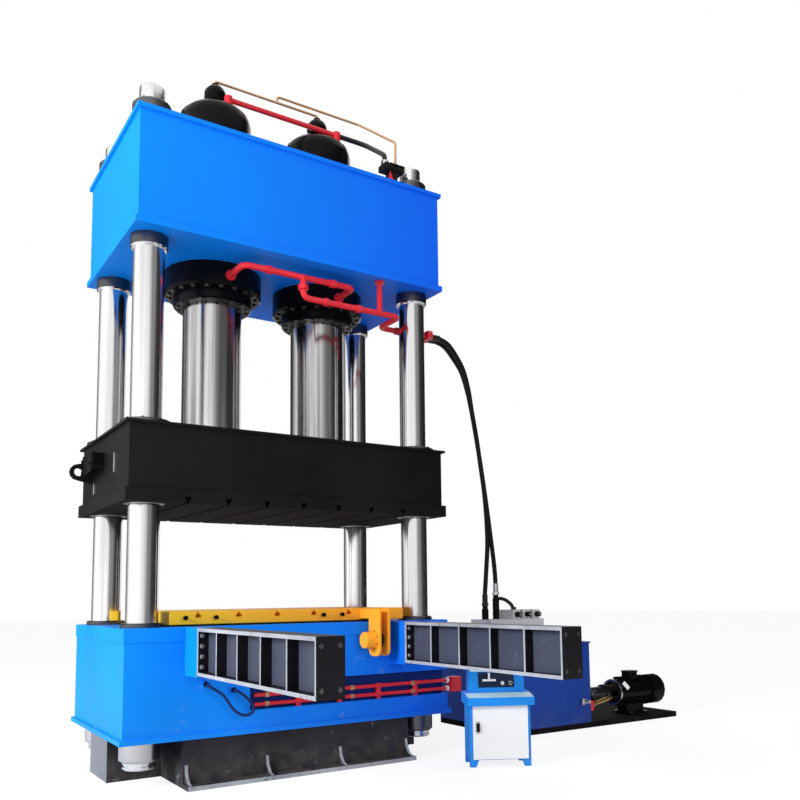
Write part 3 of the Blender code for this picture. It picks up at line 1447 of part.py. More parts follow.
def build_skid():
    right, rear = SKID_LEFT + SKID_LENGTH, SKID_FRONT + SKID_WIDTH
    skid = box("power_unit_skid", (SKID_LEFT, SKID_FRONT, 0), (right, rear, SKID_HEIGHT - FIT))
    middle = SKID_LEFT + TANK_LENGTH
    for left, end in ((SKID_LEFT, middle), (middle, right)):
        hollow = box(
            "hollow",
            (left + SKID_BAR, SKID_FRONT + SKID_BAR, -OVERRUN),
            (end - SKID_BAR, rear - SKID_BAR, SKID_HEIGHT - SKID_DECK),
        )
        cut(skid, hollow)
    dress(skid, "machine_black")


def build_tank():
    right, rear = SKID_LEFT + TANK_LENGTH, SKID_FRONT + SKID_WIDTH
    tank = box("oil_tank", (SKID_LEFT, SKID_FRONT, SKID_HEIGHT), (right, rear, TANK_TOP - LET_IN))
    lip = TANK_LID_LIP
    lid = box("lid", (SKID_LEFT - lip, SKID_FRONT - lip, TANK_TOP - TANK_LID), (right + lip, rear + lip, TANK_TOP))
    x, y = right - BREATHER_INSET_X, SKID_FRONT + BREATHER_INSET_Y
    neck_top = TANK_TOP + BREATHER_NECK_HEIGHT
    breather = turned(
        "breather",
        [
            (0, neck_top + BREATHER_HEIGHT),
            (BREATHER_RADIUS, neck_top + BREATHER_HEIGHT),
            (BREATHER_RADIUS, neck_top),
            (BREATHER_NECK_RADIUS, neck_top),
            (BREATHER_NECK_RADIUS, TANK_TOP - LET_IN),
            (0, TANK_TOP - LET_IN),
        ],
        (x, y, 0),
        segments=SMALL_ROUND,
    )
    level = SKID_HEIGHT + TANK_HEIGHT / 2
    cover_y = (SKID_FRONT + rear) / 2 + MANHOLE_RADIUS
    cover = rod("cover", (right - LET_IN, cover_y, level), (right + MANHOLE_HEIGHT, cover_y, level), MANHOLE_RADIUS)
    dress(join(tank, lid, breather, cover), "frame_blue")


def build_valve_block():
    low, high = TANK_TOP + FIT, TANK_TOP + MANIFOLD_HEIGHT
    right, rear = MANIFOLD_LEFT + MANIFOLD_LENGTH, MANIFOLD_FRONT + MANIFOLD_WIDTH
    block = box("valve_block", (MANIFOLD_LEFT, MANIFOLD_FRONT, low), (right, rear, high))
    for x, y, z in (HOSE_A_ROUTE[-1], HOSE_B_ROUTE[-1]):
        end = z - FIT
        profile = [
            (0, end),
            (HOSE_SEAT_NECK_RADIUS, end),
            (HOSE_SEAT_NECK_RADIUS, end - HOSE_SEAT_RADIUS),
            (HOSE_SEAT_RADIUS, end - HOSE_SEAT_RADIUS),
            (HOSE_SEAT_RADIUS, high - LET_IN),
            (0, high - LET_IN),
        ]
        join(block, turned("fitting", profile, (x, y, 0), segments=SMALL_ROUND))
    dress(block, "casting_grey")

    seat = high + FIT
    middle = (MANIFOLD_FRONT + rear) / 2
    left = MANIFOLD_LEFT + VALVE_BODY_LEFT
    right = left + VALVE_BODY_PITCH * (VALVE_BODY_COUNT - 1) + VALVE_BODY_LENGTH
    half = VALVE_BASE_WIDTH / 2
    stack = box(
        "valve_stack",
        (left, middle - half, seat),
        (right, middle + half, seat + VALVE_BASE_HEIGHT),
    )
    for i in range(VALVE_BODY_COUNT):
        x = left + VALVE_BODY_PITCH * i
        body = box(
            "body",
            (x, middle - VALVE_BODY_WIDTH / 2, seat),
            (x + VALVE_BODY_LENGTH, middle + VALVE_BODY_WIDTH / 2, seat + VALVE_BODY_HEIGHT),
        )
        centre = x + VALVE_BODY_LENGTH / 2
        reach = VALVE_BODY_WIDTH / 2 + SOLENOID_LENGTH
        coil = rod(
            "coils",
            (centre, middle - reach, seat + SOLENOID_RISE),
            (centre, middle + reach, seat + SOLENOID_RISE),
            SOLENOID_RADIUS,
            segments=SMALL_ROUND,
        )
        join(stack, body, coil)
    dress(stack, "machine_black")


def build_motor():
    y, z = MOTOR_Y, SHAFT_LEVEL
    left, right = MOTOR_LEFT, MOTOR_LEFT + MOTOR_LENGTH
    end = right + MOTOR_COWL_LENGTH
    shaft_bore = (SHAFT_RADIUS + FIT) / math.cos(math.pi / ROUND)
    inner_cowl = MOTOR_COWL_RADIUS - MOTOR_COWL_WALL
    profile = [
        (MOTOR_COWL_MOUTH, end),
        (MOTOR_COWL_RADIUS, end),
        (MOTOR_COWL_RADIUS, right - MOTOR_SHIELD),
        (MOTOR_RADIUS, right - MOTOR_SHIELD),
        (MOTOR_RADIUS, left),
        (shaft_bore, left),
        (shaft_bore, left + MOTOR_SHIELD),
        (MOTOR_BORE_RADIUS, left + MOTOR_SHIELD),
        (MOTOR_BORE_RADIUS, right - MOTOR_SHIELD),
        (shaft_bore, right - MOTOR_SHIELD),
        (shaft_bore, right),
        (inner_cowl, right),
        (inner_cowl, end - MOTOR_COWL_WALL),
        (MOTOR_COWL_MOUTH, end - MOTOR_COWL_WALL),
    ]
    motor = turned("motor_housing", profile, (0, y, z), AXIS_X, ring=True)
    fin_left, fin_right = left + MOTOR_SHIELD, right - MOTOR_SHIELD
    for i in range(MOTOR_FIN_COUNT):
        turn = 2 * math.pi * (i + 1 / 2) / MOTOR_FIN_COUNT
        fin = box(
            "fin",
            (fin_left, -MOTOR_FIN_THICKNESS / 2, MOTOR_RADIUS - LET_IN),
            (fin_right, MOTOR_FIN_THICKNESS / 2, MOTOR_RADIUS + MOTOR_FIN_HEIGHT),
        )
        fin.data.transform(Matrix.Translation((0, y, z)) @ Matrix.Rotation(turn, 4, "X"))
        join(motor, fin)
    middle = (fin_left + fin_right) / 2
    half, wide = MOTOR_FOOT_LENGTH / 2, MOTOR_FOOT_WIDTH / 2
    foot_top = SKID_HEIGHT + MOTOR_FOOT_THICKNESS
    join(
        motor,
        box("foot", (middle - half, y - wide, SKID_HEIGHT), (middle + half, y + wide, foot_top)),
        box(
            "pedestal",
            (middle - half, y - wide / 2, foot_top - LET_IN),
            (middle + half, y + wide / 2, z - MOTOR_RADIUS + MOTOR_PEDESTAL_SINK),
        ),
    )
    top = z + MOTOR_RADIUS
    connection = box(
        "connection_box",
        (middle - MOTOR_BOX_LENGTH / 2, y - MOTOR_BOX_WIDTH / 2, top - LET_IN),
        (middle + MOTOR_BOX_LENGTH / 2, y + MOTOR_BOX_WIDTH / 2, top + MOTOR_BOX_HEIGHT),
    )
    dress(join(motor, connection), "machine_black")


def build_rotor():
    y, z = MOTOR_Y, SHAFT_LEVEL
    left, right = MOTOR_LEFT, MOTOR_LEFT + MOTOR_LENGTH
    core_left, core_right = left + MOTOR_SHIELD + ROTOR_END_GAP, right - MOTOR_SHIELD - ROTOR_END_GAP
    fan_left = right + ROTOR_END_GAP
    fan_right = fan_left + FAN_THICKNESS
    profile = [
        (0, fan_right + LET_IN),
        (SHAFT_RADIUS, fan_right + LET_IN),
        (SHAFT_RADIUS, fan_right),
        (FAN_HUB_RADIUS, fan_right),
        (FAN_HUB_RADIUS, fan_left),
        (SHAFT_RADIUS, fan_left),
        (SHAFT_RADIUS, core_right),
        (ROTOR_RADIUS, core_right),
        (ROTOR_RADIUS, core_left),
        (SHAFT_RADIUS, core_left),
        (SHAFT_RADIUS, left - SHAFT_REACH),
        (0, left - SHAFT_REACH),
    ]
    rotor = turned("motor_rotor", profile, (0, y, z), AXIS_X)
    for i in range(FAN_BLADES):
        blade = box(
            "blade",
            (fan_left + LET_IN, -FAN_BLADE_THICKNESS / 2, FAN_HUB_RADIUS - LET_IN),
            (fan_right - LET_IN, FAN_BLADE_THICKNESS / 2, FAN_RADIUS),
        )
        turn = 2 * math.pi * i / FAN_BLADES
        blade.data.transform(Matrix.Translation((0, y, z)) @ Matrix.Rotation(turn, 4, "X"))
        join(rotor, blade)
    dress(rotor, "dark_steel", (left, y, z))


def build_bell_and_pump():
    y, z = MOTOR_Y, SHAFT_LEVEL
    right = MOTOR_LEFT - FIT
    left = right - BELL_LENGTH
    profile = [
        (BELL_RADIUS - BELL_WALL, right),
        (BELL_RADIUS + BELL_WALL, right),
        (BELL_RADIUS + BELL_WALL, right - BELL_FLANGE),
        (BELL_RADIUS, right - BELL_FLANGE),
        (BELL_PUMP_RADIUS, left + BELL_FLANGE),
        (BELL_PUMP_RADIUS + BELL_WALL, left + BELL_FLANGE),
        (BELL_PUMP_RADIUS + BELL_WALL, left),
        (BELL_PUMP_RADIUS - BELL_WALL, left),
    ]
    bell = turned("coupling_housing", profile, (0, y, z), AXIS_X, ring=True)
    middle = (left + right) / 2
    for turn in (0, math.pi / 2):
        window = box(
            "window",
            (middle - BELL_WINDOW_LENGTH / 2, -BELL_RADIUS - OVERRUN, -BELL_WINDOW_WIDTH / 2),
            (middle + BELL_WINDOW_LENGTH / 2, BELL_RADIUS + OVERRUN, BELL_WINDOW_WIDTH / 2),
        )
        window.data.transform(Matrix.Translation((0, y, z)) @ Matrix.Rotation(turn, 4, "X"))
        cut(bell, window)
    dress(bell, "casting_grey")

    face = left - FIT
    back = face - PUMP_FLANGE
    end = back - PUMP_LENGTH
    tank_side = SKID_LEFT + TANK_LENGTH + FIT
    profile = [
        (0, face),
        (PUMP_FLANGE_RADIUS, face),
        (PUMP_FLANGE_RADIUS, back),
        (PUMP_RADIUS, back),
        (PUMP_RADIUS, end + PUMP_CHAMFER),
        (PUMP_RADIUS - PUMP_CHAMFER, end),
        (PUMP_PORT_RADIUS, end),
        (PUMP_PORT_RADIUS, tank_side + PUMP_PORT_FLANGE),
        (PUMP_PORT_FLANGE_RADIUS, tank_side + PUMP_PORT_FLANGE),
        (PUMP_PORT_FLANGE_RADIUS, tank_side),
        (0, tank_side),
    ]
    dress(turned("pump", profile, (0, y, z), AXIS_X), "dark_steel")


def build_hoses():
    dress(tube("hose_a", smooth_route(HOSE_A_ROUTE, HOSE_POINTS), HOSE_RADIUS), "hose_rubber")
    dress(tube("hose_b", smooth_route(HOSE_B_ROUTE, HOSE_POINTS), HOSE_RADIUS), "hose_rubber")
    dress(tube("cable_loop", smooth_route(CABLE_ROUTE, CABLE_POINTS), CABLE_RADIUS), "cable_blue")


def main():
    clear_scene()
    new_collection("Hydraulic press")
    build_base()
    build_bed()
    build_rail_stubs()
    build_columns()
    build_column_nuts()
    build_crown()
    build_cylinders()
    build_plungers()
    build_prefill_valves()
    build_slide()
    build_guide_bushes()
    build_switch_box()
    build_rails()
    build_bolster()
    build_wheels()
    build_drive()
    build_pressure_pipe()
    build_return_pipe()
    build_pilot_pipe()
    build_bed_pipes()
    build_console_cabinet()
    build_console_door()
    build_console_desk()
    build_console_controls()
    build_skid()
    build_tank()
    build_valve_block()
    build_motor()
    build_rotor()
    build_bell_and_pump()
    build_hoses()


main()
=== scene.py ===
"""The four-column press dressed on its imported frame: finishes, fasteners, fittings, hoses and studio."""

import json
import logging
import math
from dataclasses import dataclass
from enum import Enum
from typing import Callable, ClassVar, Iterable, Iterator, Mapping, Optional, Sequence, Union

import bmesh
import bpy
from mathutils import Matrix, Vector


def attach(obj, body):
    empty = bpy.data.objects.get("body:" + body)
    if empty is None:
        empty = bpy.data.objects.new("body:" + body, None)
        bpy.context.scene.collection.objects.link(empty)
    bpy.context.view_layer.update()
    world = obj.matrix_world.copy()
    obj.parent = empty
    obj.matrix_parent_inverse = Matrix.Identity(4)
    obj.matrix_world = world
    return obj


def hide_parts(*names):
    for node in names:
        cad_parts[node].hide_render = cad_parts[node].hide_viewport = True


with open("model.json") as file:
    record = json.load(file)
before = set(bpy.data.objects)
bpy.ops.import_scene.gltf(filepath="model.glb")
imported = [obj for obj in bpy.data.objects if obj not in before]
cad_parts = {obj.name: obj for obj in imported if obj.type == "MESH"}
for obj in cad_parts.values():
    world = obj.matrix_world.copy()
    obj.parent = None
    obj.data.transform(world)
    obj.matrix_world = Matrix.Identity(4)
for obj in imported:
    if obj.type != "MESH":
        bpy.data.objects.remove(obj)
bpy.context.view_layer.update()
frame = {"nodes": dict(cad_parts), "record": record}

LOG = logging.getLogger("press")
Colour = tuple[float, float, float]
Point = Sequence[float]
Number = Union[float, "Wire"]
Rule = Callable[[Vector, Vector], bool]

X_AXIS, Y_AXIS, Z_AXIS = Vector((1, 0, 0)), Vector((0, 1, 0)), Vector((0, 0, 1))
WHITE: Colour = (1, 1, 1)
SHARP_ANGLE = math.radians(32)
SIDES = ("left", "right")
CORNERS = ("front_left", "front_right", "rear_left", "rear_right")

# Places that several parts share, in metres from the middle of the press's foot
COLUMN_X, COLUMN_Y = 1.53, 0.68
CYLINDER_X = 0.64
CROWN_BOTTOM, CROWN_TOP = 5.226, 6.404
BED_TOP = 1.449
RAIL_X = 1.10
STACK_Y = 0.01


class Body(Enum):
    """The moving groups of the press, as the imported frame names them."""

    FRAME = "frame"
    SLIDE = "slide"
    BOLSTER = "bolster"
    ROTOR = "rotor"
    DOOR = "door"
    LATCH = "latch"
    START = "start"
    STOP = "stop"
    SELECTOR = "selector"
    WHEEL_FRONT_LEFT = "wheel_front_left"
    WHEEL_FRONT_RIGHT = "wheel_front_right"
    WHEEL_REAR_LEFT = "wheel_rear_left"
    WHEEL_REAR_RIGHT = "wheel_rear_right"


class Texture(Enum):
    """What a finish's surface is made like."""

    PAINT = "paint"
    GROUND = "ground"
    CAST = "cast"
    RUBBER = "rubber"


# Nodes written as plain expressions


@dataclass(frozen=True)
class Wire:
    """One output socket, which takes part in ordinary arithmetic."""

    graph: "Graph"
    socket: bpy.types.NodeSocket

    def maths(self, operation: str, left: Number, right: Number) -> "Wire":
        """Adds one Math node, and gives its result."""
        return self.graph.node("ShaderNodeMath", {"operation": operation}, {0: left, 1: right})

    def __add__(self, other: Number) -> "Wire":
        """Sum."""
        return self.maths("ADD", self, other)

    def __radd__(self, other: Number) -> "Wire":
        """Sum with a number on the left."""
        return self.maths("ADD", other, self)

    def __sub__(self, other: Number) -> "Wire":
        """Difference."""
        return self.maths("SUBTRACT", self, other)

    def __rsub__(self, other: Number) -> "Wire":
        """Difference from a number."""
        return self.maths("SUBTRACT", other, self)

    def __mul__(self, other: Number) -> "Wire":
        """Product."""
        return self.maths("MULTIPLY", self, other)

    def __rmul__(self, other: Number) -> "Wire":
        """Product with a number on the left."""
        return self.maths("MULTIPLY", other, self)

    def rise(self, low: float, high: float) -> "Wire":
        """A smooth step of this value, from 0 at low to 1 at high."""
        limits = {0: self, 1: low, 2: high}
        return self.graph.node("ShaderNodeMapRange", {"interpolation_type": "SMOOTHSTEP"}, limits)


class Graph:
    """A node tree that is filled by calls."""

    def __init__(self, tree: bpy.types.NodeTree) -> None:
        """Keeps the tree."""
        self.tree = tree

    def node(
        self,
        kind: str,
        settings: Optional[Mapping[str, object]] = None,
        inputs: Optional[Mapping[Union[str, int], object]] = None,
        output: Union[str, int] = 0,
    ) -> Wire:
        """Adds a node.

        Args:
            kind: The node's type.
            settings: Its properties, set before its sockets.
            inputs: Values or wires by socket name or number.
            output: The output that the caller wants.

        Returns:
            That output.
        """
        made = self.tree.nodes.new(kind)
        for name, value in (settings or {}).items():
            setattr(made, name, value)
        for key, value in (inputs or {}).items():
            self.feed(made.inputs[key], value)
        return Wire(self, made.outputs[output])

    def feed(self, socket: bpy.types.NodeSocket, value: object) -> None:
        """Links a wire to a socket, or sets the socket's own value.

        Args:
            socket: An input socket.
            value: A wire, or a value.
        """
        if isinstance(value, Wire):
            self.tree.links.new(value.socket, socket)
        elif socket.type == "RGBA" and len(value) == 3:
            socket.default_value = (*value, 1.0)
        else:
            socket.default_value = value

    def mix(self, factor: Number, first: object, second: object) -> Wire:
        """Mixes two colours, with the first at 0 and the second at 1."""
        return self.node("ShaderNodeMix", {"data_type": "RGBA"}, {0: factor, 6: first, 7: second}, 2)

    def noise(self, place: Wire, scale: float, detail: float = 3.0) -> Wire:
        """Noise about 0.5 over a place, with its lumps to the metre and its finer layers."""
        inputs = {"Vector": place, "Scale": scale, "Detail": detail}
        return self.node("ShaderNodeTexNoise", None, inputs, "Fac")


@dataclass(frozen=True)
class Finish:
    """A paint, metal or rubber as it looks on this machine. Scales are to the metre."""

    name: str
    colour: Colour
    roughness: float
    texture: Texture = Texture.PAINT
    metallic: float = 0.0
    coat: float = 0.0
    specular: float = 0.16
    drift: float = 0.10
    drift_scale: float = 0.9
    grain_scale: float = 140.0
    grain_depth: float = 0.0006
    # streaks: painted reflection, dark vertical bands in the base colour that stand in for mirrored
    # surroundings
    streaks: float = 0.0
    # Painted shade: a deeper colour blended in along x, standing in for light that falls off across the part
    painted_shade_colour: Optional[Colour] = None
    painted_shade_span: tuple[float, float] = (-1.75, 1.75)
    wear: float = 0.0
    wear_colour: Colour = (0.30, 0.30, 0.30)
    dust: float = 0.0
    dust_top: float = 0.5

    ROUGHNESS_DRIFT = 0.16
    COAT_ROUGHNESS = 0.15
    BUMP_STRENGTH = 0.5
    PAINTED_REFLECTION_SHADE = 0.25
    # How dark the painted reflection streaks are, as a share of the colour
    DUST_COLOUR = (0.24, 0.22, 0.20)

    def shades(self) -> tuple[Colour, Colour]:
        """The shades that the finish drifts between.

        Returns:
            The darker shade and the lighter one.
        """
        dark = tuple(c * (1 - self.drift) for c in self.colour)
        light = tuple(min(1.0, c * (1 + self.drift)) for c in self.colour)
        return dark, light

    def height(self, graph: Graph, place: Wire) -> Wire:
        """The surface's fine relief.

        Args:
            graph: The material's graph.
            place: Object coordinates.

        Returns:
            A height from 0 to 1.
        """
        fine = graph.noise(place, self.grain_scale, 2.0)
        if self.texture is Texture.GROUND:
            bands = {"wave_type": "BANDS", "bands_direction": "Z"}
            inputs = {"Vector": place, "Scale": self.grain_scale, "Distortion": 1.5, "Detail": 2.0}
            lines = graph.node("ShaderNodeTexWave", bands, inputs, "Fac")
            return lines * 0.5 + fine * 0.5
        if self.texture is Texture.CAST:
            return fine * 0.6 + graph.noise(place, self.grain_scale * 0.25, 4.0) * 0.4
        if self.texture is Texture.RUBBER:
            inputs = {"Vector": place, "Scale": self.grain_scale}
            weave = graph.node("ShaderNodeTexVoronoi", {"feature": "F1"}, inputs, "Distance")
            return weave * 0.7 + fine * 0.3
        return fine

    def material(self) -> bpy.types.Material:
        """The finish's material, made the first time that it is asked for.

        Returns:
            The material.
        """
        made = bpy.data.materials.get("press_" + self.name)
        if made:
            return made
        made = bpy.data.materials.new("press_" + self.name)
        made.use_nodes = True
        graph = Graph(made.node_tree)
        shader = made.node_tree.nodes["Principled BSDF"]
        place = graph.node("ShaderNodeTexCoord", output="Object")
        broad = graph.noise(place, self.drift_scale, 4.0)
        spread = broad.rise(0.3, 0.7)
        dark, light = self.shades()
        colour = graph.mix(spread, dark, light)
        roughness = self.roughness + (broad - 0.5) * self.ROUGHNESS_DRIFT
        # Painted shade: the colour deepens along x towards the deeper colour, as light falling off across the
        # part
        if self.painted_shade_colour:
            across = graph.node("ShaderNodeSeparateXYZ", None, {0: place}, "X")
            low, high = self.painted_shade_span
            along = graph.node("ShaderNodeMapRange", None, {0: across, 1: low, 2: high})
            colour = graph.mix(along, colour, self.painted_shade_colour)
        # Painted reflection: dark vertical streaks in the base colour
        if self.streaks:
            stretch = {0: place, 1: (1, 1, 0.02)}
            squeezed = graph.node("ShaderNodeVectorMath", {"operation": "MULTIPLY"}, stretch)
            lines = graph.noise(squeezed, 11.0, 3.0).rise(0.40, 0.62)
            shade = tuple(c * self.PAINTED_REFLECTION_SHADE for c in self.colour)
            colour = graph.mix(lines * self.streaks, colour, shade)
        if self.wear:
            scuffs = graph.noise(place, 7.0, 8.0).rise(0.66 - self.wear, 0.74)
            streaks = graph.noise(place, 38.0, 3.0).rise(0.45, 0.7)
            marks = scuffs * streaks
            colour = graph.mix(marks * 0.7, colour, self.wear_colour)
            roughness = roughness + marks * 0.2
        if self.dust:
            level = graph.node("ShaderNodeSeparateXYZ", None, {0: place}, "Z")
            film = (1 - level.rise(0.0, self.dust_top)) * graph.noise(place, 5.0, 5.0).rise(0.25, 0.75)
            colour = graph.mix(film * self.dust, colour, self.DUST_COLOUR)
            roughness = roughness + film * 0.25
        relief = self.height(graph, place)
        inputs = {"Strength": self.BUMP_STRENGTH, "Distance": self.grain_depth, "Height": relief}
        bump = graph.node("ShaderNodeBump", None, inputs, "Normal")
        graph.feed(shader.inputs["Base Color"], colour)
        graph.feed(shader.inputs["Roughness"], roughness)
        graph.feed(shader.inputs["Normal"], bump)
        shader.inputs["Metallic"].default_value = self.metallic
        shader.inputs["Specular IOR Level"].default_value = self.specular
        shader.inputs["Coat Weight"].default_value = self.coat
        shader.inputs["Coat Roughness"].default_value = self.COAT_ROUGHNESS
        return made


# The crown's deeper blue towards the right is painted shade
CROWN_BLUE = Finish(
    "crown_blue", (0.003, 0.265, 0.98), 0.42, specular=0.08, drift=0.05,
    painted_shade_colour=(0.005, 0.125, 0.83), painted_shade_span=(-1.9, 1.6),
)
# The bed's deeper blue towards the right is painted shade; its dust is real
BED_BLUE = Finish(
    "bed_blue", (0.003, 0.28, 0.97), 0.44, specular=0.08, drift=0.08, wear=0.01, dust=0.08, dust_top=0.9,
    painted_shade_colour=(0.006, 0.150, 0.85), painted_shade_span=(-1.6, 1.2),
)
# Painted shade: the bed's channel in a dark blue for the shade in the recess; its dust is real
CHANNEL_PAINTED_SHADE = Finish("channel_painted_shade", (0.008, 0.030, 0.20), 0.5, specular=0.08, drift=0.15, dust=0.1)
TANK_BLUE = Finish("tank_blue", (0.008, 0.052, 0.32), 0.46, drift=0.12, wear=0.02, dust=0.15)
# Painted light: the base's left wing ends in a lighter grey than the black base, with real wear marks
WING_END_PAINTED_LIGHT = Finish(
    "wing_end_painted_light", (0.22, 0.24, 0.27), 0.5, drift=0.25, wear=0.2, wear_colour=(0.03, 0.03, 0.035)
)
CONSOLE_BLUE = Finish("console_blue", (0.015, 0.28, 0.86), 0.42, drift=0.05, dust=0.2, dust_top=0.3)
MACHINE_BLACK = Finish("machine_black", (0.005, 0.005, 0.006), 0.30, specular=0.09, drift=0.25)
DOME_BLACK = Finish("dome_black", (0.003, 0.003, 0.004), 0.16, specular=0.09, drift=0.25)
BASE_BLACK = Finish("base_black", (0.020, 0.018, 0.024), 0.5, drift=0.3, wear=0.06, dust=0.3, dust_top=0.45)
SLIDE_BLACK = Finish("slide_black", (0.007, 0.008, 0.009), 0.40, specular=0.12, drift=0.3)
GREASY_BLACK = Finish("greasy_black", (0.010, 0.008, 0.010), 0.8, specular=0.05, drift=0.4, drift_scale=2.5)
# Painted highlight: a lighter grey on rail and foot edges, with real dark wear marks
EDGE_HIGHLIGHT_AND_WEAR = Finish(
    "edge_highlight_and_wear", (0.36, 0.38, 0.42), 0.45, drift=0.25, wear=0.25, wear_colour=(0.03, 0.03, 0.035)
)
# The chrome's streaks are painted reflection
CHROME = Finish(
    "ground_chrome", (0.90, 0.90, 0.91), 0.14, Texture.GROUND, 1.0,
    drift=0.03, grain_scale=90.0, grain_depth=0.00003, streaks=0.32,
)
# The plunger's strong streaks are painted reflection
PLUNGER_CHROME = Finish(
    "plunger_chrome", (0.66, 0.65, 0.65), 0.16, Texture.GROUND, 1.0,
    drift=0.04, grain_scale=90.0, grain_depth=0.00003, streaks=0.75,
)
OILED_STEEL = Finish(
    "oiled_steel", (0.13, 0.13, 0.14), 0.34, Texture.GROUND, 1.0, drift=0.2, grain_depth=0.0002
)
BRIGHT_STEEL = Finish(
    "bright_steel", (0.66, 0.66, 0.67), 0.28, Texture.GROUND, 1.0, drift=0.12, grain_depth=0.0002
)
# The bolster's deeper orange towards the right is painted shade; its wear is real
BOLSTER_YELLOW = Finish(
    "bolster_yellow", (1.0, 0.60, 0.035), 0.44, specular=0.12, drift=0.08, wear=0.06,
    wear_colour=(0.45, 0.24, 0.05), painted_shade_colour=(1.0, 0.40, 0.03), painted_shade_span=(-1.4, 0.5),
)
PIPE_RED = Finish("pipe_red", (0.72, 0.02, 0.035), 0.32, specular=0.4, drift=0.08)
PIPE_BLACK = Finish("pipe_black", (0.008, 0.008, 0.009), 0.34, specular=0.4, drift=0.2)
BRIGHT_BRASS = Finish(
    "bright_brass", (0.95, 0.60, 0.20), 0.30, Texture.GROUND, 1.0, drift=0.08, grain_depth=0.0002
)
DULL_BRASS = Finish("dull_brass", (0.74, 0.46, 0.26), 0.36, Texture.CAST, 0.8, drift=0.12, grain_depth=0.0002)
# Painted light: the rail webs in a lighter grey than the rails' black, as lit faces; their wear marks are
# real
RAIL_WEB_PAINTED_LIGHT = Finish(
    "rail_grey", (0.060, 0.070, 0.105), 0.46, drift=0.16, wear=0.05, wear_colour=(0.22, 0.23, 0.26)
)
RAIL_BLACK = Finish("rail_black", (0.008, 0.008, 0.011), 0.42, drift=0.2)
DOOR_WHITE = Finish("door_white", (0.93, 0.94, 0.96), 0.36, drift=0.02, grain_depth=0.0003)
HOSE_RUBBER = Finish("hose_rubber", (0.008, 0.008, 0.009), 0.5, Texture.RUBBER, drift=0.2, grain_depth=0.0012)
CABLE_BLUE = Finish("cable_blue", (0.010, 0.028, 0.12), 0.5, Texture.RUBBER, drift=0.1, grain_depth=0.0005)
CAST_GREY = Finish("cast_grey", (0.30, 0.31, 0.33), 0.48, Texture.CAST, drift=0.12)
CAST_PALE = Finish("cast_pale", (0.62, 0.63, 0.65), 0.44, Texture.CAST, drift=0.10, wear=0.06)
PANEL_DARK = Finish("panel_dark", (0.012, 0.022, 0.055), 0.35, drift=0.08)
DESK_STEEL = Finish("desk_steel", (0.66, 0.90, 1.0), 0.34, Texture.GROUND, drift=0.04, grain_depth=0.0001)
DIAL_WHITE = Finish("dial_white", (0.82, 0.82, 0.78), 0.35, drift=0.02)
SIGHT_AMBER = Finish("sight_amber", (0.50, 0.26, 0.04), 0.12, coat=1.0, specular=0.5, drift=0.10)

SLOT_FINISHES = {
    "frame_blue": CROWN_BLUE,
    "machine_black": MACHINE_BLACK,
    "ground_steel": CHROME,
    "dark_steel": OILED_STEEL,
    "bolster_yellow": BOLSTER_YELLOW,
    "pipe_red": PIPE_RED,
    "pipe_brass": DULL_BRASS,
    "rail_grey": RAIL_BLACK,
    "console_white": DOOR_WHITE,
    "panel_blue": CONSOLE_BLUE,
    "hose_rubber": HOSE_RUBBER,
    "cable_blue": CABLE_BLUE,
    "casting_grey": CAST_GREY,
}
NODE_FINISHES = {
    "bed_beam": BED_BLUE,
    "oil_tank": TANK_BLUE,
    "base_frame": BASE_BLACK,
    "slide_beam": SLIDE_BLACK,
    "power_unit_skid": GREASY_BLACK,
    "coupling_housing": MACHINE_BLACK,
    "pump": OILED_STEEL,
    "valve_stack": CAST_PALE,
    "valve_block": CAST_PALE,
    **{f"plunger_{side}": PLUNGER_CHROME for side in SIDES},
    **{f"rail_stub_{side}": BED_BLUE for side in SIDES},
    **{f"main_cylinder_{side}": DOME_BLACK for side in SIDES},
    **{f"prefill_valve_{side}": DOME_BLACK for side in SIDES},
    **{f"lower_nut_{corner}": BRIGHT_STEEL for corner in CORNERS},
    "lower_nut_front_right": OILED_STEEL,
}

# Where the rules below draw their lines: a share of a face's normal, and metres
FACING, TILT = 0.9, 0.1
RAIL_WEB, RAIL_HALF_WIDTH, RAIL_EDGE = 0.05, 0.11, 0.008
FOOT_SIDE, FOOT_TOP, GUSSET_Y = 0.039, 0.04, 0.992
WING_X = -1.6
CHANNEL_Y, CHANNEL_Z = (-0.96, -0.8), (0.62, 0.95)
BLACK_END_X, BLACK_END_Z = 0.90, 6.52
HOSE_SEAT_Z = 1.405
PUMP_END_X = 4.42
STACK_HALF_WIDTH = 0.1503
SHAFT_RADIUS, COLLAR_Z, SHOULDER_Z = 0.153, (5.11, 5.23), 1.50


def on_lit_rail_web(place: Vector, normal: Vector) -> bool:
    """Whether a face of a rail is on its web, whose faces are painted a lighter grey as painted light."""
    return abs(normal.x) > FACING and abs(abs(place.x) - RAIL_X) < RAIL_WEB


def on_rail_highlight_edge(place: Vector, normal: Vector) -> bool:
    """Whether a face of a rail is on the outer edge of its flanges, stiffeners or plates, where a painted
    highlight goes.
    """
    return abs(normal.x) > FACING and abs(abs(abs(place.x) - RAIL_X) - RAIL_HALF_WIDTH) < RAIL_EDGE


def on_foot_highlight_edge(place: Vector, normal: Vector) -> bool:
    """Whether a face of the base is the foot plate's edge or a gusset's hollow edge, where a painted
    highlight goes.
    """
    gusset = place.z > FOOT_TOP and abs(place.y) > GUSSET_Y and normal.z > TILT and abs(normal.x) < TILT
    return gusset or (place.z < FOOT_SIDE and abs(normal.y) > FACING)


def on_lit_wing_end(place: Vector, normal: Vector) -> bool:
    """Whether a face of the base is on the left end of its wings, which is painted lighter as painted light.
    """
    return normal.x < -FACING and place.x < WING_X


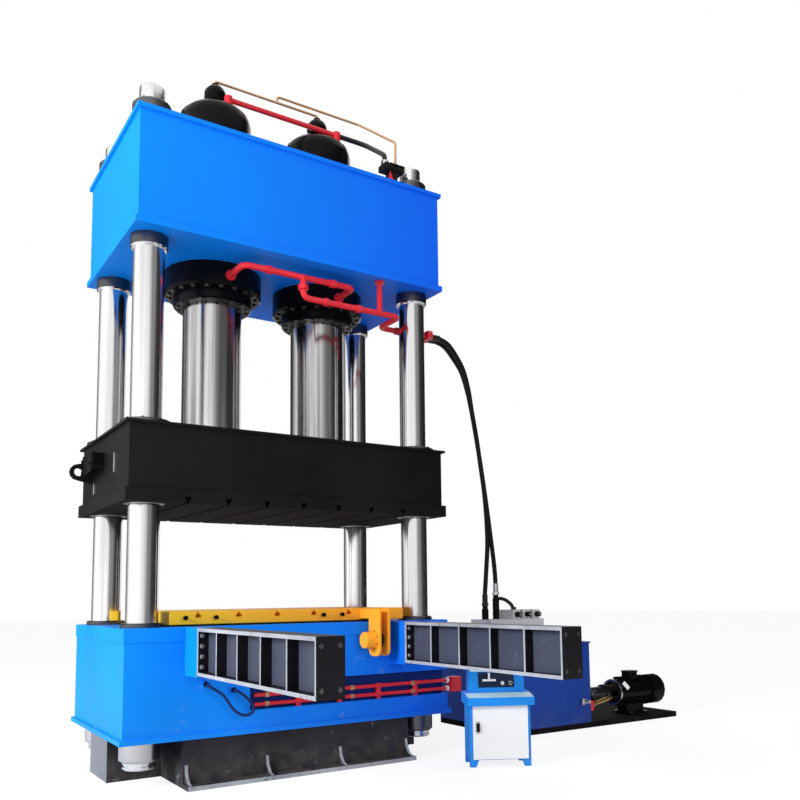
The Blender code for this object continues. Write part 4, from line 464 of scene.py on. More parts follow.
def on_shaded_channel(place: Vector, normal: Vector) -> bool:
    """Whether a face of the bed is in the channel for its pipes, which is painted darker as painted shade."""
    inside = CHANNEL_Y[0] < place.y < CHANNEL_Y[1] and CHANNEL_Z[0] < place.z < CHANNEL_Z[1]
    return inside and (normal.y < -FACING or normal.z < -FACING)


def on_black_pipe(place: Vector, normal: Vector) -> bool:
    """Whether a face of the return pipe is on its black end piece."""
    return place.x > BLACK_END_X and (place.z > BLACK_END_Z or normal.z > FACING)


def on_hose_seat(place: Vector, normal: Vector) -> bool:
    """Whether a face of the valve block is on a hose's seat."""
    return place.z > HOSE_SEAT_Z


def on_pump_barrel(place: Vector, normal: Vector) -> bool:
    """Whether a face of the pump is on its brass end."""
    return place.x < PUMP_END_X


def on_coil(place: Vector, normal: Vector) -> bool:
    """Whether a face of the valve stack is on a solenoid."""
    return abs(place.y - STACK_Y) > STACK_HALF_WIDTH


def on_underside(place: Vector, normal: Vector) -> bool:
    """Whether a face looks down."""
    return normal.z < -FACING


def on_collar(place: Vector, normal: Vector) -> bool:
    """Whether a face of a column is on its collar under the crown or its shoulder on the bed."""
    reach = math.hypot(abs(place.x) - COLUMN_X, abs(place.y) - COLUMN_Y)
    return reach > SHAFT_RADIUS and (COLLAR_Z[0] < place.z < COLLAR_Z[1] or place.z < SHOULDER_Z)


# Some accents are painted light and shade: the rail webs' grey, the rail and foot edge highlights, the wing
# ends' grey and the bed channel's dark blue
ACCENTS: dict[str, tuple[tuple[Finish, Rule], ...]] = {
    **{f"rail_{side}": ((RAIL_WEB_PAINTED_LIGHT, on_lit_rail_web), (EDGE_HIGHLIGHT_AND_WEAR, on_rail_highlight_edge)) for side in SIDES},
    **{f"column_{corner}": ((OILED_STEEL, on_collar),) for corner in CORNERS},
    "base_frame": ((EDGE_HIGHLIGHT_AND_WEAR, on_foot_highlight_edge), (WING_END_PAINTED_LIGHT, on_lit_wing_end)),
    "bed_beam": ((CHANNEL_PAINTED_SHADE, on_shaded_channel),),
    "slide_beam": ((GREASY_BLACK, on_underside),),
    "return_pipe": ((PIPE_BLACK, on_black_pipe),),
    "valve_block": ((MACHINE_BLACK, on_hose_seat),),
    "pump": ((DULL_BRASS, on_pump_barrel),),
    "valve_stack": ((MACHINE_BLACK, on_coil),),
}


# Meshes


class Shape:
    """A mesh in the making: closed solids that are gathered in one piece."""

    def __init__(self, at: Matrix = Matrix.Identity(4)) -> None:
        """Starts an empty mesh whose solids are given in the axes of a frame.

        Args:
            at: That frame, in the press's axes.
        """
        self.work = bmesh.new()
        self.at = at

    def block(self, low: Point, high: Point, edge: float = 0.0) -> "Shape":
        """Adds a box.

        Args:
            low: One corner.
            high: The corner across.
            edge: The width of its rounded edges.

        Returns:
            The shape itself.
        """
        low, high = Vector(low), Vector(high)
        verts = bmesh.ops.create_cube(self.work, size=1)["verts"]
        bmesh.ops.scale(self.work, vec=high - low, verts=verts)
        bmesh.ops.translate(self.work, vec=(low + high) / 2, verts=verts)
        if edge:
            edges = list(dict.fromkeys(e for v in verts for e in v.link_edges))
            bmesh.ops.bevel(self.work, geom=edges, offset=edge, segments=2, profile=0.5, affect="EDGES")
        return self

    def rod(
        self, start: Point, end: Point, radius: float, end_radius: Optional[float] = None, sides: int = 24
    ) -> "Shape":
        """Adds a round bar, or a cone.

        Args:
            start: The middle of its first end.
            end: The middle of its other end.
            radius: Its radius.
            end_radius: Its radius at the other end, where that differs.
            sides: How many sides it has.

        Returns:
            The shape itself.
        """
        start, end = Vector(start), Vector(end)
        along = end - start
        turn = Z_AXIS.rotation_difference(along).to_matrix().to_4x4()
        bmesh.ops.create_cone(
            self.work,
            cap_ends=True,
            segments=sides,
            radius1=radius,
            radius2=radius if end_radius is None else end_radius,
            depth=along.length,
            matrix=Matrix.Translation((start + end) / 2) @ turn,
        )
        return self

    def lathe(
        self, profile: Sequence[Point], at: Point = (0, 0, 0), axis: Vector = Z_AXIS, sides: int = 32
    ) -> "Shape":
        """Adds a turned solid.

        Args:
            profile: (radius, height) points, which start and end on the axis or else close on themselves.
            at: Its foot.
            axis: Its axis.
            sides: How many sides it has.

        Returns:
            The shape itself.
        """
        place = Matrix.Translation(at) @ Z_AXIS.rotation_difference(axis).to_matrix().to_4x4()
        rings = []
        for radius, height in profile:
            if radius < 1e-6:
                rings.append([self.work.verts.new(place @ Vector((0, 0, height)))] * sides)
                continue
            ring = []
            for i in range(sides):
                angle = 2 * math.pi * i / sides
                spot = Vector((radius * math.cos(angle), radius * math.sin(angle), height))
                ring.append(self.work.verts.new(place @ spot))
            rings.append(ring)
        pairs = list(zip(rings, rings[1:]))
        if profile[0][0] > 1e-6:
            pairs.append((rings[-1], rings[0]))
        for upper, lower in pairs:
            for i in range(sides):
                j = (i + 1) % sides
                corners = list(dict.fromkeys((upper[i], upper[j], lower[j], lower[i])))
                if len(corners) > 2:
                    self.work.faces.new(corners)
        return self

    def sweep(self, points: Sequence[Vector], radius: float, sides: int = 16) -> "Shape":
        """Adds a round tube along a line.

        Args:
            points: The line's points.
            radius: The tube's radius.
            sides: How many sides it has.

        Returns:
            The shape itself.
        """
        points = [Vector(point) for point in points]
        ways = []
        for i in range(len(points)):
            ahead, behind = points[min(i + 1, len(points) - 1)], points[max(i - 1, 0)]
            ways.append((ahead - behind).normalized())
        side = ways[0].orthogonal().normalized()
        rings = []
        for point, way in zip(points, ways):
            side = (side - way * side.dot(way)).normalized()
            across = way.cross(side)
            ring = []
            for i in range(sides):
                angle = 2 * math.pi * i / sides
                spot = point + (side * math.cos(angle) + across * math.sin(angle)) * radius
                ring.append(self.work.verts.new(spot))
            rings.append(ring)
        for first, second in zip(rings, rings[1:]):
            for i in range(sides):
                j = (i + 1) % sides
                self.work.faces.new((first[i], first[j], second[j], second[i]))
        self.work.faces.new(list(reversed(rings[0])))
        self.work.faces.new(rings[-1])
        return self

    def mesh(self, name: str) -> bpy.types.Mesh:
        """The finished mesh.

        Args:
            name: Its name.

        Returns:
            The mesh, in the press's axes, its faces outwards and its round faces smooth.
        """
        bmesh.ops.transform(self.work, matrix=self.at, verts=self.work.verts)
        bmesh.ops.recalc_face_normals(self.work, faces=self.work.faces)
        made = bpy.data.meshes.new(name)
        self.work.to_mesh(made)
        self.work.free()
        made.shade_smooth()
        made.set_sharp_from_angle(angle=SHARP_ANGLE)
        return made


def put(
    name: str,
    source: Union[Shape, bpy.types.Mesh],
    finish: Finish,
    slot: str,
    body: Body = Body.FRAME,
    replaced: Iterable[str] = (),
) -> bpy.types.Object:
    """Makes a piece of the press.

    Args:
        name: The piece's name.
        source: Its shape or mesh.
        finish: Its finish.
        slot: The material slot that it would belong to; not used.
        body: The body that it moves with.
        replaced: The solids that it stands for.

    Returns:
        The piece.
    """
    mesh = source.mesh(name) if isinstance(source, Shape) else source
    piece = bpy.data.objects.new(name, mesh)
    bpy.context.scene.collection.objects.link(piece)
    mesh.materials.clear()
    mesh.materials.append(finish.material())
    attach(piece, body.value)
    if replaced:
        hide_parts(*replaced)
    LOG.info("%s: %d faces on %s", name, len(mesh.polygons), body.value)
    return piece


def circle(
    centre: Point, radius: float, count: int, axis: Vector = Z_AXIS, start: float = 0.0
) -> Iterator[Vector]:
    """Evenly spaced points on a circle.

    Args:
        centre: Its centre.
        radius: Its radius.
        count: How many points.
        axis: The circle's axis.
        start: Where the first lies, in degrees.

    Returns:
        The points.
    """
    turn = Z_AXIS.rotation_difference(axis).to_matrix()
    for i in range(count):
        angle = math.radians(start) + 2 * math.pi * i / count
        yield Vector(centre) + turn @ Vector((radius * math.cos(angle), radius * math.sin(angle), 0))


def smooth_route(places: Sequence[Point], count: int) -> list[Vector]:
    """Points on a smooth curve through some places.

    Args:
        places: The places.
        count: How many points.

    Returns:
        The points.
    """
    spots = [Vector(place) for place in places]
    padded = [2 * spots[0] - spots[1], *spots, 2 * spots[-1] - spots[-2]]
    spans = len(spots) - 1
    points = []
    for i in range(count):
        along = spans * i / (count - 1)
        span = min(int(along), spans - 1)
        t = along - span
        a, b, c, d = padded[span : span + 4]
        second, third = 2 * a - 5 * b + 4 * c - d, 3 * b - a - 3 * c + d
        points.append((2 * b + (c - a) * t + second * t**2 + third * t**3) / 2)
    return points


def length_of(points: Sequence[Vector]) -> float:
    """The length of a line of points."""
    return sum((b - a).length for a, b in zip(points, points[1:]))


class Maker:
    """A Geometry Nodes tree that is run on a mesh and leaves a plain mesh behind."""

    def __init__(self, name: str, sizes: Sequence[str]) -> None:
        """Starts the tree, with its sockets.

        Args:
            name: The tree's name.
            sizes: The names of its number inputs, which stand before its material input.
        """
        self.tree = bpy.data.node_groups.new(name, "GeometryNodeTree")
        face = self.tree.interface
        face.new_socket("Geometry", in_out="INPUT", socket_type="NodeSocketGeometry")
        kinds = [(size, "NodeSocketFloat") for size in sizes] + [("Finish", "NodeSocketMaterial")]
        self.inputs = [
            face.new_socket(label, in_out="INPUT", socket_type=kind).identifier for label, kind in kinds
        ]
        face.new_socket("Geometry", in_out="OUTPUT", socket_type="NodeSocketGeometry")
        self.graph = Graph(self.tree)
        given = self.tree.nodes.new("NodeGroupInput")
        self.given = [Wire(self.graph, socket) for socket in given.outputs[: len(kinds) + 1]]

    def close(self, geometry: Wire) -> None:
        """Gives the geometry its material and leads it out of the tree.

        Args:
            geometry: What the tree has made.
        """
        inputs = {"Geometry": geometry, "Material": self.given[-1]}
        done = self.graph.node("GeometryNodeSetMaterial", None, inputs)
        out = self.tree.nodes.new("NodeGroupOutput")
        self.tree.links.new(done.socket, out.inputs[0])

    def run(self, name: str, source: bpy.types.Mesh, finish: Finish, *sizes: float) -> bpy.types.Mesh:
        """Runs the tree on a mesh.

        Args:
            name: The name of the mesh that it makes.
            source: The mesh that it starts from.
            finish: The result's finish.
            *sizes: The tree's number inputs, in their order.

        Returns:
            The mesh that the tree makes.
        """
        maker = bpy.data.objects.new(name + "_maker", source)
        bpy.context.scene.collection.objects.link(maker)
        nodes = maker.modifiers.new(self.tree.name, "NODES")
        nodes.node_group = self.tree
        for identifier, value in zip(self.inputs, (*sizes, finish.material())):
            nodes[identifier] = value
        graph = bpy.context.evaluated_depsgraph_get()
        made = bpy.data.meshes.new_from_object(maker.evaluated_get(graph))
        made.name = name
        bpy.data.objects.remove(maker)
        return made


class Fasteners(Maker):
    """Hexagon bolts with washers, set on points: one mesh for each body and finish.

    A bolt's own sizes are shares of the radius over its head's corners.
    """

    HEAD_HEIGHT = 0.7
    CAP_RADIUS = 0.86
    CAP_HEIGHT = 0.12
    WASHER_RADIUS = 1.35
    WASHER_HEIGHT = 0.16

    def __init__(self) -> None:
        """Builds the node tree."""
        super().__init__("press_fasteners", ("Head Height", "Washer Radius"))
        geometry, height, washer, _ = self.given
        node = self.graph.node
        cap = {"Vertices": 6, "Radius Top": self.CAP_RADIUS, "Radius Bottom": 1.0, "Depth": self.CAP_HEIGHT}
        head = node("GeometryNodeMeshCone", None, cap)
        shank = node("GeometryNodeMeshCylinder", None, {"Vertices": 6, "Radius": 1.0, "Depth": height})
        flat = {"Vertices": 16, "Radius": washer, "Depth": self.WASHER_HEIGHT}
        ring = node("GeometryNodeMeshCylinder", None, flat)
        lift = node("ShaderNodeCombineXYZ", None, {"Z": height})
        middle = node("ShaderNodeCombineXYZ", None, {"Z": height * 0.5})
        parts = [
            node("GeometryNodeTransform", None, {"Geometry": head, "Translation": lift}),
            node("GeometryNodeTransform", None, {"Geometry": shank, "Translation": middle}),
            ring,
        ]
        bolt = self.tree.nodes.new("GeometryNodeJoinGeometry")
        for part in reversed(parts):
            self.tree.links.new(part.socket, bolt.inputs[0])
        aim = node("GeometryNodeInputNamedAttribute", {"data_type": "FLOAT_VECTOR"}, {"Name": "aim"})
        size = node("GeometryNodeInputNamedAttribute", {"data_type": "FLOAT"}, {"Name": "size"})
        turn = node("FunctionNodeAlignRotationToVector", {"axis": "Z"}, {"Vector": aim})
        points = node("GeometryNodeMeshToPoints", None, {"Mesh": geometry})
        whole = Wire(self.graph, bolt.outputs[0])
        inputs = {"Points": points, "Instance": whole, "Rotation": turn, "Scale": size}
        placed = node("GeometryNodeInstanceOnPoints", None, inputs)
        self.close(node("GeometryNodeRealizeInstances", None, {"Geometry": placed}))
        self.sets: dict[tuple[Body, Finish, str], list[tuple[Vector, Vector, float]]] = {}

    def add(
        self, body: Body, finish: Finish, slot: str, spots: Iterable[Point], aim: Vector, size: float
    ) -> None:
        """Asks for bolts of one size, whose heads sit on the spots and point along aim."""
        rows = self.sets.setdefault((body, finish, slot), [])
        rows.extend((Vector(spot), aim, size) for spot in spots)

    def build(self) -> None:
        """Makes every set of bolts that was asked for."""
        for (body, finish, slot), rows in self.sets.items():
            name = f"{body.value}_bolts_{finish.name}"
            mesh = bpy.data.meshes.new(name + "_spots")
            mesh.from_pydata([spot for spot, _, _ in rows], [], [])
            mesh.attributes.new("aim", "FLOAT_VECTOR", "POINT")
            mesh.attributes.new("size", "FLOAT", "POINT")
            mesh.attributes["aim"].data.foreach_set("vector", [part for _, aim, _ in rows for part in aim])
            mesh.attributes["size"].data.foreach_set("value", [size for _, _, size in rows])
            made = self.run(name, mesh, finish, self.HEAD_HEIGHT, self.WASHER_RADIUS)
            put(name, made, finish, slot, body)


class Beads(Maker):
    """Weld beads along lines, with an uneven surface of a fixed seed."""

    RIPPLE = (0.8, 1.2)
    STEP = 3

    def __init__(self) -> None:
        """Builds the node tree."""
        super().__init__("press_beads", ("Bead Radius", "Ripple Length"))
        geometry, radius, step, _ = self.given
        node = self.graph.node
        line = node("GeometryNodeMeshToCurve", None, {"Mesh": geometry})
        dense = node("GeometryNodeResampleCurve", {"mode": "LENGTH"}, {"Curve": line, "Length": step})
        low, high = self.RIPPLE
        spread = {"Min": low, "Max": high, "Seed": 7}
        ripple = node("FunctionNodeRandomValue", {"data_type": "FLOAT"}, spread, 1)
        ring = node("GeometryNodeCurvePrimitiveCircle", None, {"Resolution": 6, "Radius": radius})
        swept = {"Curve": dense, "Profile Curve": ring, "Scale": ripple, "Fill Caps": True}
        self.close(node("GeometryNodeCurveToMesh", None, swept))

    def build(
        self,
        name: str,
        lines: Iterable[Sequence[Point]],
        finish: Finish,
        slot: str,
        body: Body,
        radius: float,
    ) -> None:
        """Makes the beads along some lines.

        Args:
            name: The piece's name.
            lines: Lists of points.
            finish: The beads' finish.
            slot: Their material slot.
            body: The body that they are on.
            radius: A bead's radius.
        """
        verts: list[Point] = []
        edges: list[tuple[int, int]] = []
        for line in lines:
            first = len(verts)
            verts.extend(line)
            edges.extend((first + i, first + i + 1) for i in range(len(line) - 1))
        mesh = bpy.data.meshes.new(name + "_lines")
        mesh.from_pydata([Vector(v) for v in verts], edges, [])
        put(name, self.run(name, mesh, finish, radius, radius * self.STEP), finish, slot, body)


def around(x: float, y: float, z: float) -> list[Point]:
    """A closed level line round the press, at x to the left and right and y to the front and back."""
    return [(-x, -y, z), (x, -y, z), (x, y, z), (-x, y, z), (-x, -y, z)]


# The press's own sub-assemblies


@dataclass
class Assembly:
    """A part of the press that adds its own small pieces, with the makers of bolts and weld beads."""

    fasteners: Fasteners
    beads: Beads
    body: ClassVar[Body] = Body.FRAME

    def build(self) -> None:
        """Makes the part's pieces."""
        raise NotImplementedError

    def bright_bolts(self, spots: Iterable[Point], aim: Vector, size: float) -> None:
        """Asks for bright bolts on the part's body."""
        self.fasteners.add(self.body, BRIGHT_STEEL, "ground_steel", spots, aim, size)

    def dark_bolts(self, spots: Iterable[Point], aim: Vector, size: float) -> None:
        """Asks for oiled bolts on the part's body."""
        self.fasteners.add(self.body, OILED_STEEL, "dark_steel", spots, aim, size)


@dataclass
class HoseRun:
    """A hose or cable: its route's points, radius, and the fittings at its two ends."""

    name: str
    node: str
    route: Sequence[Point]
    radius: float
    finish: Finish
    slot: str
    stiffness: str
    points: int = 150
    sleeve_length: float = 0.11
    sleeve_swell: float = 1.22
    sleeve_rings: int = 5
    sleeve_groove: float = 0.94
    sleeve_mouth: float = 1.03
    nut_length: float = 0.035
    nut_swell: float = 1.5

    def build(self) -> None:
        line = smooth_route(self.route, self.points)
        tube = put(self.name, Shape().sweep(line, self.radius), self.finish, self.slot, replaced=[self.node])
        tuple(self.route[0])
        length_of(line)
        [tuple(point) for point in line]

    def fit(self, shape: Shape, start: Vector, along: Vector) -> None:
        """Adds a crimped sleeve and its nut at one end.

        Args:
            shape: The shape that takes them.
            start: The tube's end.
            along: The tube's direction there.
        """
        wide, nut = self.radius * self.sleeve_swell, self.radius * self.nut_swell
        first = start + along * self.nut_length
        shape.rod(start, first, nut, sides=6)
        profile = [(0, 0)]
        for i in range(self.sleeve_rings):
            low = self.sleeve_length * i / self.sleeve_rings
            high = self.sleeve_length * (i + 1) / self.sleeve_rings
            shoulder = 0.25 * (high - low)
            profile += [(wide * self.sleeve_groove, low), (wide, low + shoulder), (wide, high - shoulder)]
        profile += [(self.radius * self.sleeve_mouth, self.sleeve_length), (0, self.sleeve_length)]
        shape.lathe(profile, first, along, 24)


@dataclass
class Hoses:
    """The two pressure hoses, the cable loop, and the fittings on them."""

    hose_radius: float = 0.03
    cable_radius: float = 0.014
    cable_points: int = 120
    route_a: Sequence[Point] = (
        (1.93, -0.475, 4.86), (1.98, -0.475, 4.86), (2.05, -0.475, 4.86), (2.24, -0.42, 4.83),
        (2.45, -0.31, 4.74), (2.63, -0.22, 4.60), (2.76, -0.15, 4.38), (2.85, -0.10, 4.11),
        (2.95, -0.06, 3.77), (3.03, -0.03, 3.42), (3.11, -0.01, 2.97), (3.145, 0.0, 2.44),
        (3.11, 0.0, 1.98), (3.085, 0.0, 1.72), (3.085, 0.0, 1.64), (3.085, 0.0, 1.58),
    )
    route_b: Sequence[Point] = (
        (1.93, -0.365, 4.86), (1.98, -0.365, 4.86), (2.06, -0.365, 4.86), (2.27, -0.30, 4.84),
        (2.49, -0.19, 4.75), (2.68, -0.11, 4.61), (2.82, -0.05, 4.38), (2.92, -0.01, 4.11),
        (3.02, 0.03, 3.77), (3.10, 0.05, 3.42), (3.18, 0.06, 2.97), (3.25, 0.06, 2.48),
        (3.30, 0.06, 2.10), (3.315, 0.06, 1.88), (3.315, 0.06, 1.80), (3.315, 0.06, 1.72),
    )
    route_cable: Sequence[Point] = (
        (-1.02, -1.003, 0.92), (-1.02, -1.016, 0.92), (-1.02, -1.03, 0.92), (-0.995, -1.055, 0.898),
        (-0.93, -1.06, 0.855), (-0.875, -1.06, 0.815), (-0.83, -1.06, 0.76), (-0.79, -1.06, 0.70),
        (-0.74, -1.06, 0.65), (-0.68, -1.06, 0.618), (-0.62, -1.06, 0.615), (-0.575, -1.06, 0.64),
        (-0.575, -1.06, 0.69), (-0.615, -1.06, 0.75), (-0.67, -1.06, 0.80), (-0.73, -1.055, 0.84),
        (-0.75, -1.03, 0.85), (-0.75, -1.016, 0.85), (-0.75, -1.003, 0.85),
    )
    elbow: Sequence[Point] = (
        (3.345, 0.06, 1.66), (3.39, 0.06, 1.67), (3.47, 0.05, 1.65), (3.55, 0.03, 1.59),
        (3.585, 0.02, 1.5206),
    )
    elbow_radius: float = 0.024
    elbow_nut: tuple[Point, Point] = ((3.585, 0.02, 1.5203), (3.585, 0.02, 1.555))

    def build(self) -> None:
        """Makes the cords, then their fittings."""
        kind = (self.hose_radius, HOSE_RUBBER, "hose_rubber", "stiff")
        runs = [
            HoseRun("pressure_hose_a", "hose_a", self.route_a, *kind),
            HoseRun("pressure_hose_b", "hose_b", self.route_b, *kind),
        ]
        black, bright = Shape(), Shape()
        for run, lower in zip(runs, (black, bright)):
            run.build()
            start, second = Vector(run.route[0]), Vector(run.route[1])
            end, before = Vector(run.route[-1]), Vector(run.route[-2])
            run.fit(black, start, (second - start).normalized())
            run.fit(lower, end, (before - end).normalized())
        black.sweep(smooth_route(self.elbow, 30), self.elbow_radius)
        black.rod(*self.elbow_nut, 0.036, sides=6)
        put("hose_fittings", black, PIPE_BLACK, "machine_black")
        put("hose_lower_fitting", bright, BRIGHT_STEEL, "ground_steel")
        radius = self.cable_radius
        kind = (radius, CABLE_BLUE, "cable_blue", "medium", self.cable_points)
        HoseRun("lead_loop", "cable_loop", self.route_cable, *kind).build()
        glands = Shape()
        for spot in (self.route_cable[0], self.route_cable[-1]):
            foot = Vector(spot)
            glands.rod(foot, foot - Y_AXIS * 0.008, radius * 1.9, sides=6)
            glands.rod(foot - Y_AXIS * 0.008, foot - Y_AXIS * 0.026, radius * 1.5, radius * 1.1)
        put("lead_glands", glands, MACHINE_BLACK, "machine_black")


@dataclass
class Crown(Assembly):
    """What is on the crown: cylinder bolts and rings, welds, and the pipe block's fittings."""

    half_length: float = 1.75
    half_width: float = 1.005
    lip: float = 0.03
    top_plate: float = 0.045
    bottom_plate: float = 0.06
    cylinder_top: float = 7.15
    valve_flange: float = 0.0403
    flange_drop: float = 0.246
    gland_height: float = 0.12
    nut_height: float = 0.18
    ring_inner: float = 0.401
    ring_outer: float = 0.432
    ring_height: float = 0.03
    ring_lifts: tuple[float, float] = (0.006, 0.30)
    block_height: float = 0.3003
    block_y: float = -0.75
    pilot_x: float = 1.14
    plug_x: float = 1.285
    outlet: tuple[float, float, float] = (1.36, 1.40, 1.43)
    outlet_drop: float = 0.035
    handle_x: float = 1.23
    weld: float = 0.008

    def build(self) -> None:
        """Makes the crown's pieces."""
        self.bolts()
        x, y = self.half_length - self.lip, self.half_width - self.lip
        levels = (CROWN_BOTTOM + self.bottom_plate, CROWN_TOP - self.top_plate)
        lines = [around(x, y, level) for level in levels]
        self.beads.build("crown_welds", lines, CROWN_BLUE, "frame_blue", self.body, self.weld)
        rings = Shape()
        for side in (-1, 1):
            for level in (CROWN_TOP + lift for lift in self.ring_lifts):
                inner, outer, high = self.ring_inner, self.ring_outer, level + self.ring_height
                profile = [(inner, level), (outer, level), (outer, high), (inner, high)]
                rings.lathe(profile, (side * CYLINDER_X, 0, 0), sides=48)
        put("cylinder_rings", rings, MACHINE_BLACK, "machine_black")
        self.pipe_block()

    def bolts(self) -> None:
        """Asks for the cylinders' and column nuts' bolts."""
        for side in (-1, 1):
            x = side * CYLINDER_X
            rows = (
                (CROWN_BOTTOM - self.flange_drop, 0.463, 20, -Z_AXIS, 0.024),
                (CROWN_BOTTOM - self.flange_drop - self.gland_height, 0.367, 16, -Z_AXIS, 0.019),
                (self.cylinder_top + self.valve_flange, 0.104, 8, Z_AXIS, 0.013),
            )
            for level, radius, count, aim, size in rows:
                self.dark_bolts(circle((x, 0, level), radius, count, start=180 / count), aim, size)
            for y in (-COLUMN_Y, COLUMN_Y):
                nut = (side * COLUMN_X, y, CROWN_TOP + self.nut_height)
                self.dark_bolts(circle(nut, 0.157, 4, start=45), Z_AXIS, 0.012)

    def pipe_block(self) -> None:
        """Makes the unions, handle and small bar at the block on the crown."""
        y, top = self.block_y, CROWN_TOP + self.block_height
        level = top - self.outlet_drop
        unions = Shape()
        unions.rod((self.pilot_x, y, top), (self.pilot_x, y, top + 0.05), 0.044, sides=6)
        unions.rod((self.plug_x, y, top), (self.plug_x, y, top + 0.035), 0.026, sides=6)
        first, second, third = self.outlet
        unions.rod((first, y, level), (second, y, level), 0.026, sides=6)
        unions.rod((second, y, level), (third, y, level), 0.018, sides=16)
        put("crown_unions", unions, BRIGHT_STEEL, "ground_steel")
        handle = Shape()
        handle.rod((self.handle_x, -0.83, level), (self.handle_x, -0.87, level), 0.012, sides=12)
        handle.block((1.13, -0.885, top - 0.045), (1.33, -0.865, top - 0.025), 0.004)
        put("crown_valve_handle", handle, MACHINE_BLACK, "machine_black")


@dataclass
class PressurePipes(Assembly):
    """The pipe clamps, flange bolts and unions under the crown."""

    loop_y: float = -0.88
    feed_y: float = -0.45
    loop_drop: float = 0.146
    cross_drop: float = 0.366
    pipe_radius: float = 0.0335
    clamp_swell: float = 1.35
    union_swell: float = 1.4
    high_clamps: tuple[float, float] = (-0.36, 0.38)
    low_clamps: tuple[float, float] = (0.30, 0.70)
    unions: tuple[tuple[float, float], ...] = ((1.45, 1.50), (1.74, 1.78))
    riser_x: float = 0.974
    riser_flange: float = 0.0253
    hose_block_x: float = 1.894
    hose_block_face: float = -0.5453

    def build(self) -> None:
        """Makes the fittings and asks for their bolts."""
        high, low = CROWN_BOTTOM - self.loop_drop, CROWN_BOTTOM - self.cross_drop
        clamp, union = self.pipe_radius * self.clamp_swell, self.pipe_radius * self.union_swell
        red = Shape()
        for places, half, level in ((self.high_clamps, 0.03, high), (self.low_clamps, 0.025, low)):
            for x in places:
                red.rod((x - half, self.loop_y, level), (x + half, self.loop_y, level), clamp, sides=8)
        for start, end in self.unions:
            red.rod((start, self.feed_y, low), (end, self.feed_y, low), union, sides=8)
        put("pressure_unions", red, PIPE_RED, "pipe_red")
        foot = (self.riser_x, self.loop_y, CROWN_BOTTOM - self.riser_flange)
        self.bright_bolts(circle(foot, 0.045, 4, start=45), -Z_AXIS, 0.007)
        front = [(self.hose_block_x, self.hose_block_face, low + dz) for dz in (-0.035, 0.035)]
        self.bright_bolts(front, -Y_AXIS, 0.009)


@dataclass
class Slide(Assembly):
    """What is on the slide: bush bolts, edge strips, the switch box's trim, and edge welds."""

    body: ClassVar[Body] = Body.SLIDE
    bottom: float = 2.605
    top: float = 3.36
    half_length: float = 1.78
    half_width: float = 0.97
    lip: float = 0.035
    flange: float = 0.125
    top_plate: float = 0.025
    bush_flange: float = 0.0403
    strips: Sequence[Point] = ((-0.42, 2.93, 3.12), (0.62, 3.05, 3.20), (0.40, 2.80, 2.93))
    strip_half: float = 0.018
    box_depth: float = 0.12
    box_gap: float = 0.0003
    box_span: tuple[float, float] = (0.365, 0.575)
    weld: float = 0.007

    def build(self) -> None:
        """Makes the slide's pieces."""
        for x in (-COLUMN_X, COLUMN_X):
            for y in (-COLUMN_Y, COLUMN_Y):
                bush = (x, y, self.top + self.bush_flange)
                self.dark_bolts(circle(bush, 0.207, 8, start=22.5), Z_AXIS, 0.013)
        x, y = self.half_length - self.lip, self.half_width - self.lip
        lines = [around(x, y, self.bottom + self.flange), around(x, y, self.top - self.top_plate)]
        self.beads.build("slide_welds", lines, SLIDE_BLACK, "machine_black", self.body, self.weld)
        strips = Shape()
        face = -x
        for y, low, high in self.strips:
            strips.block((face - 0.012, y - self.strip_half, low), (face, y + self.strip_half, high), 0.002)
        put("slide_strips", strips, BRIGHT_STEEL, "ground_steel", self.body)
        self.switch_box()

    def switch_box(self) -> None:
        """Makes the switch box's lid, hinges and lock."""
        face = -self.half_length + self.lip - self.box_gap - self.box_depth
        low, high = (self.bottom + rise for rise in self.box_span)
        middle, axis, barrel = (low + high) / 2, 0.405, 0.018
        trim = Shape()
        trim.block((face - 0.006, 0.02, low + 0.02), (face, 0.38, high - 0.02), 0.003)
        for z in (low + 0.045, high - 0.045):
            trim.rod((face - 0.008, axis, z - barrel), (face - 0.008, axis, z + barrel), 0.008, sides=12)
        trim.rod((face - 0.006, 0.06, middle), (face - 0.02, 0.06, middle), 0.013, sides=16)
        put("switch_box_trim", trim, MACHINE_BLACK, "machine_black", self.body)


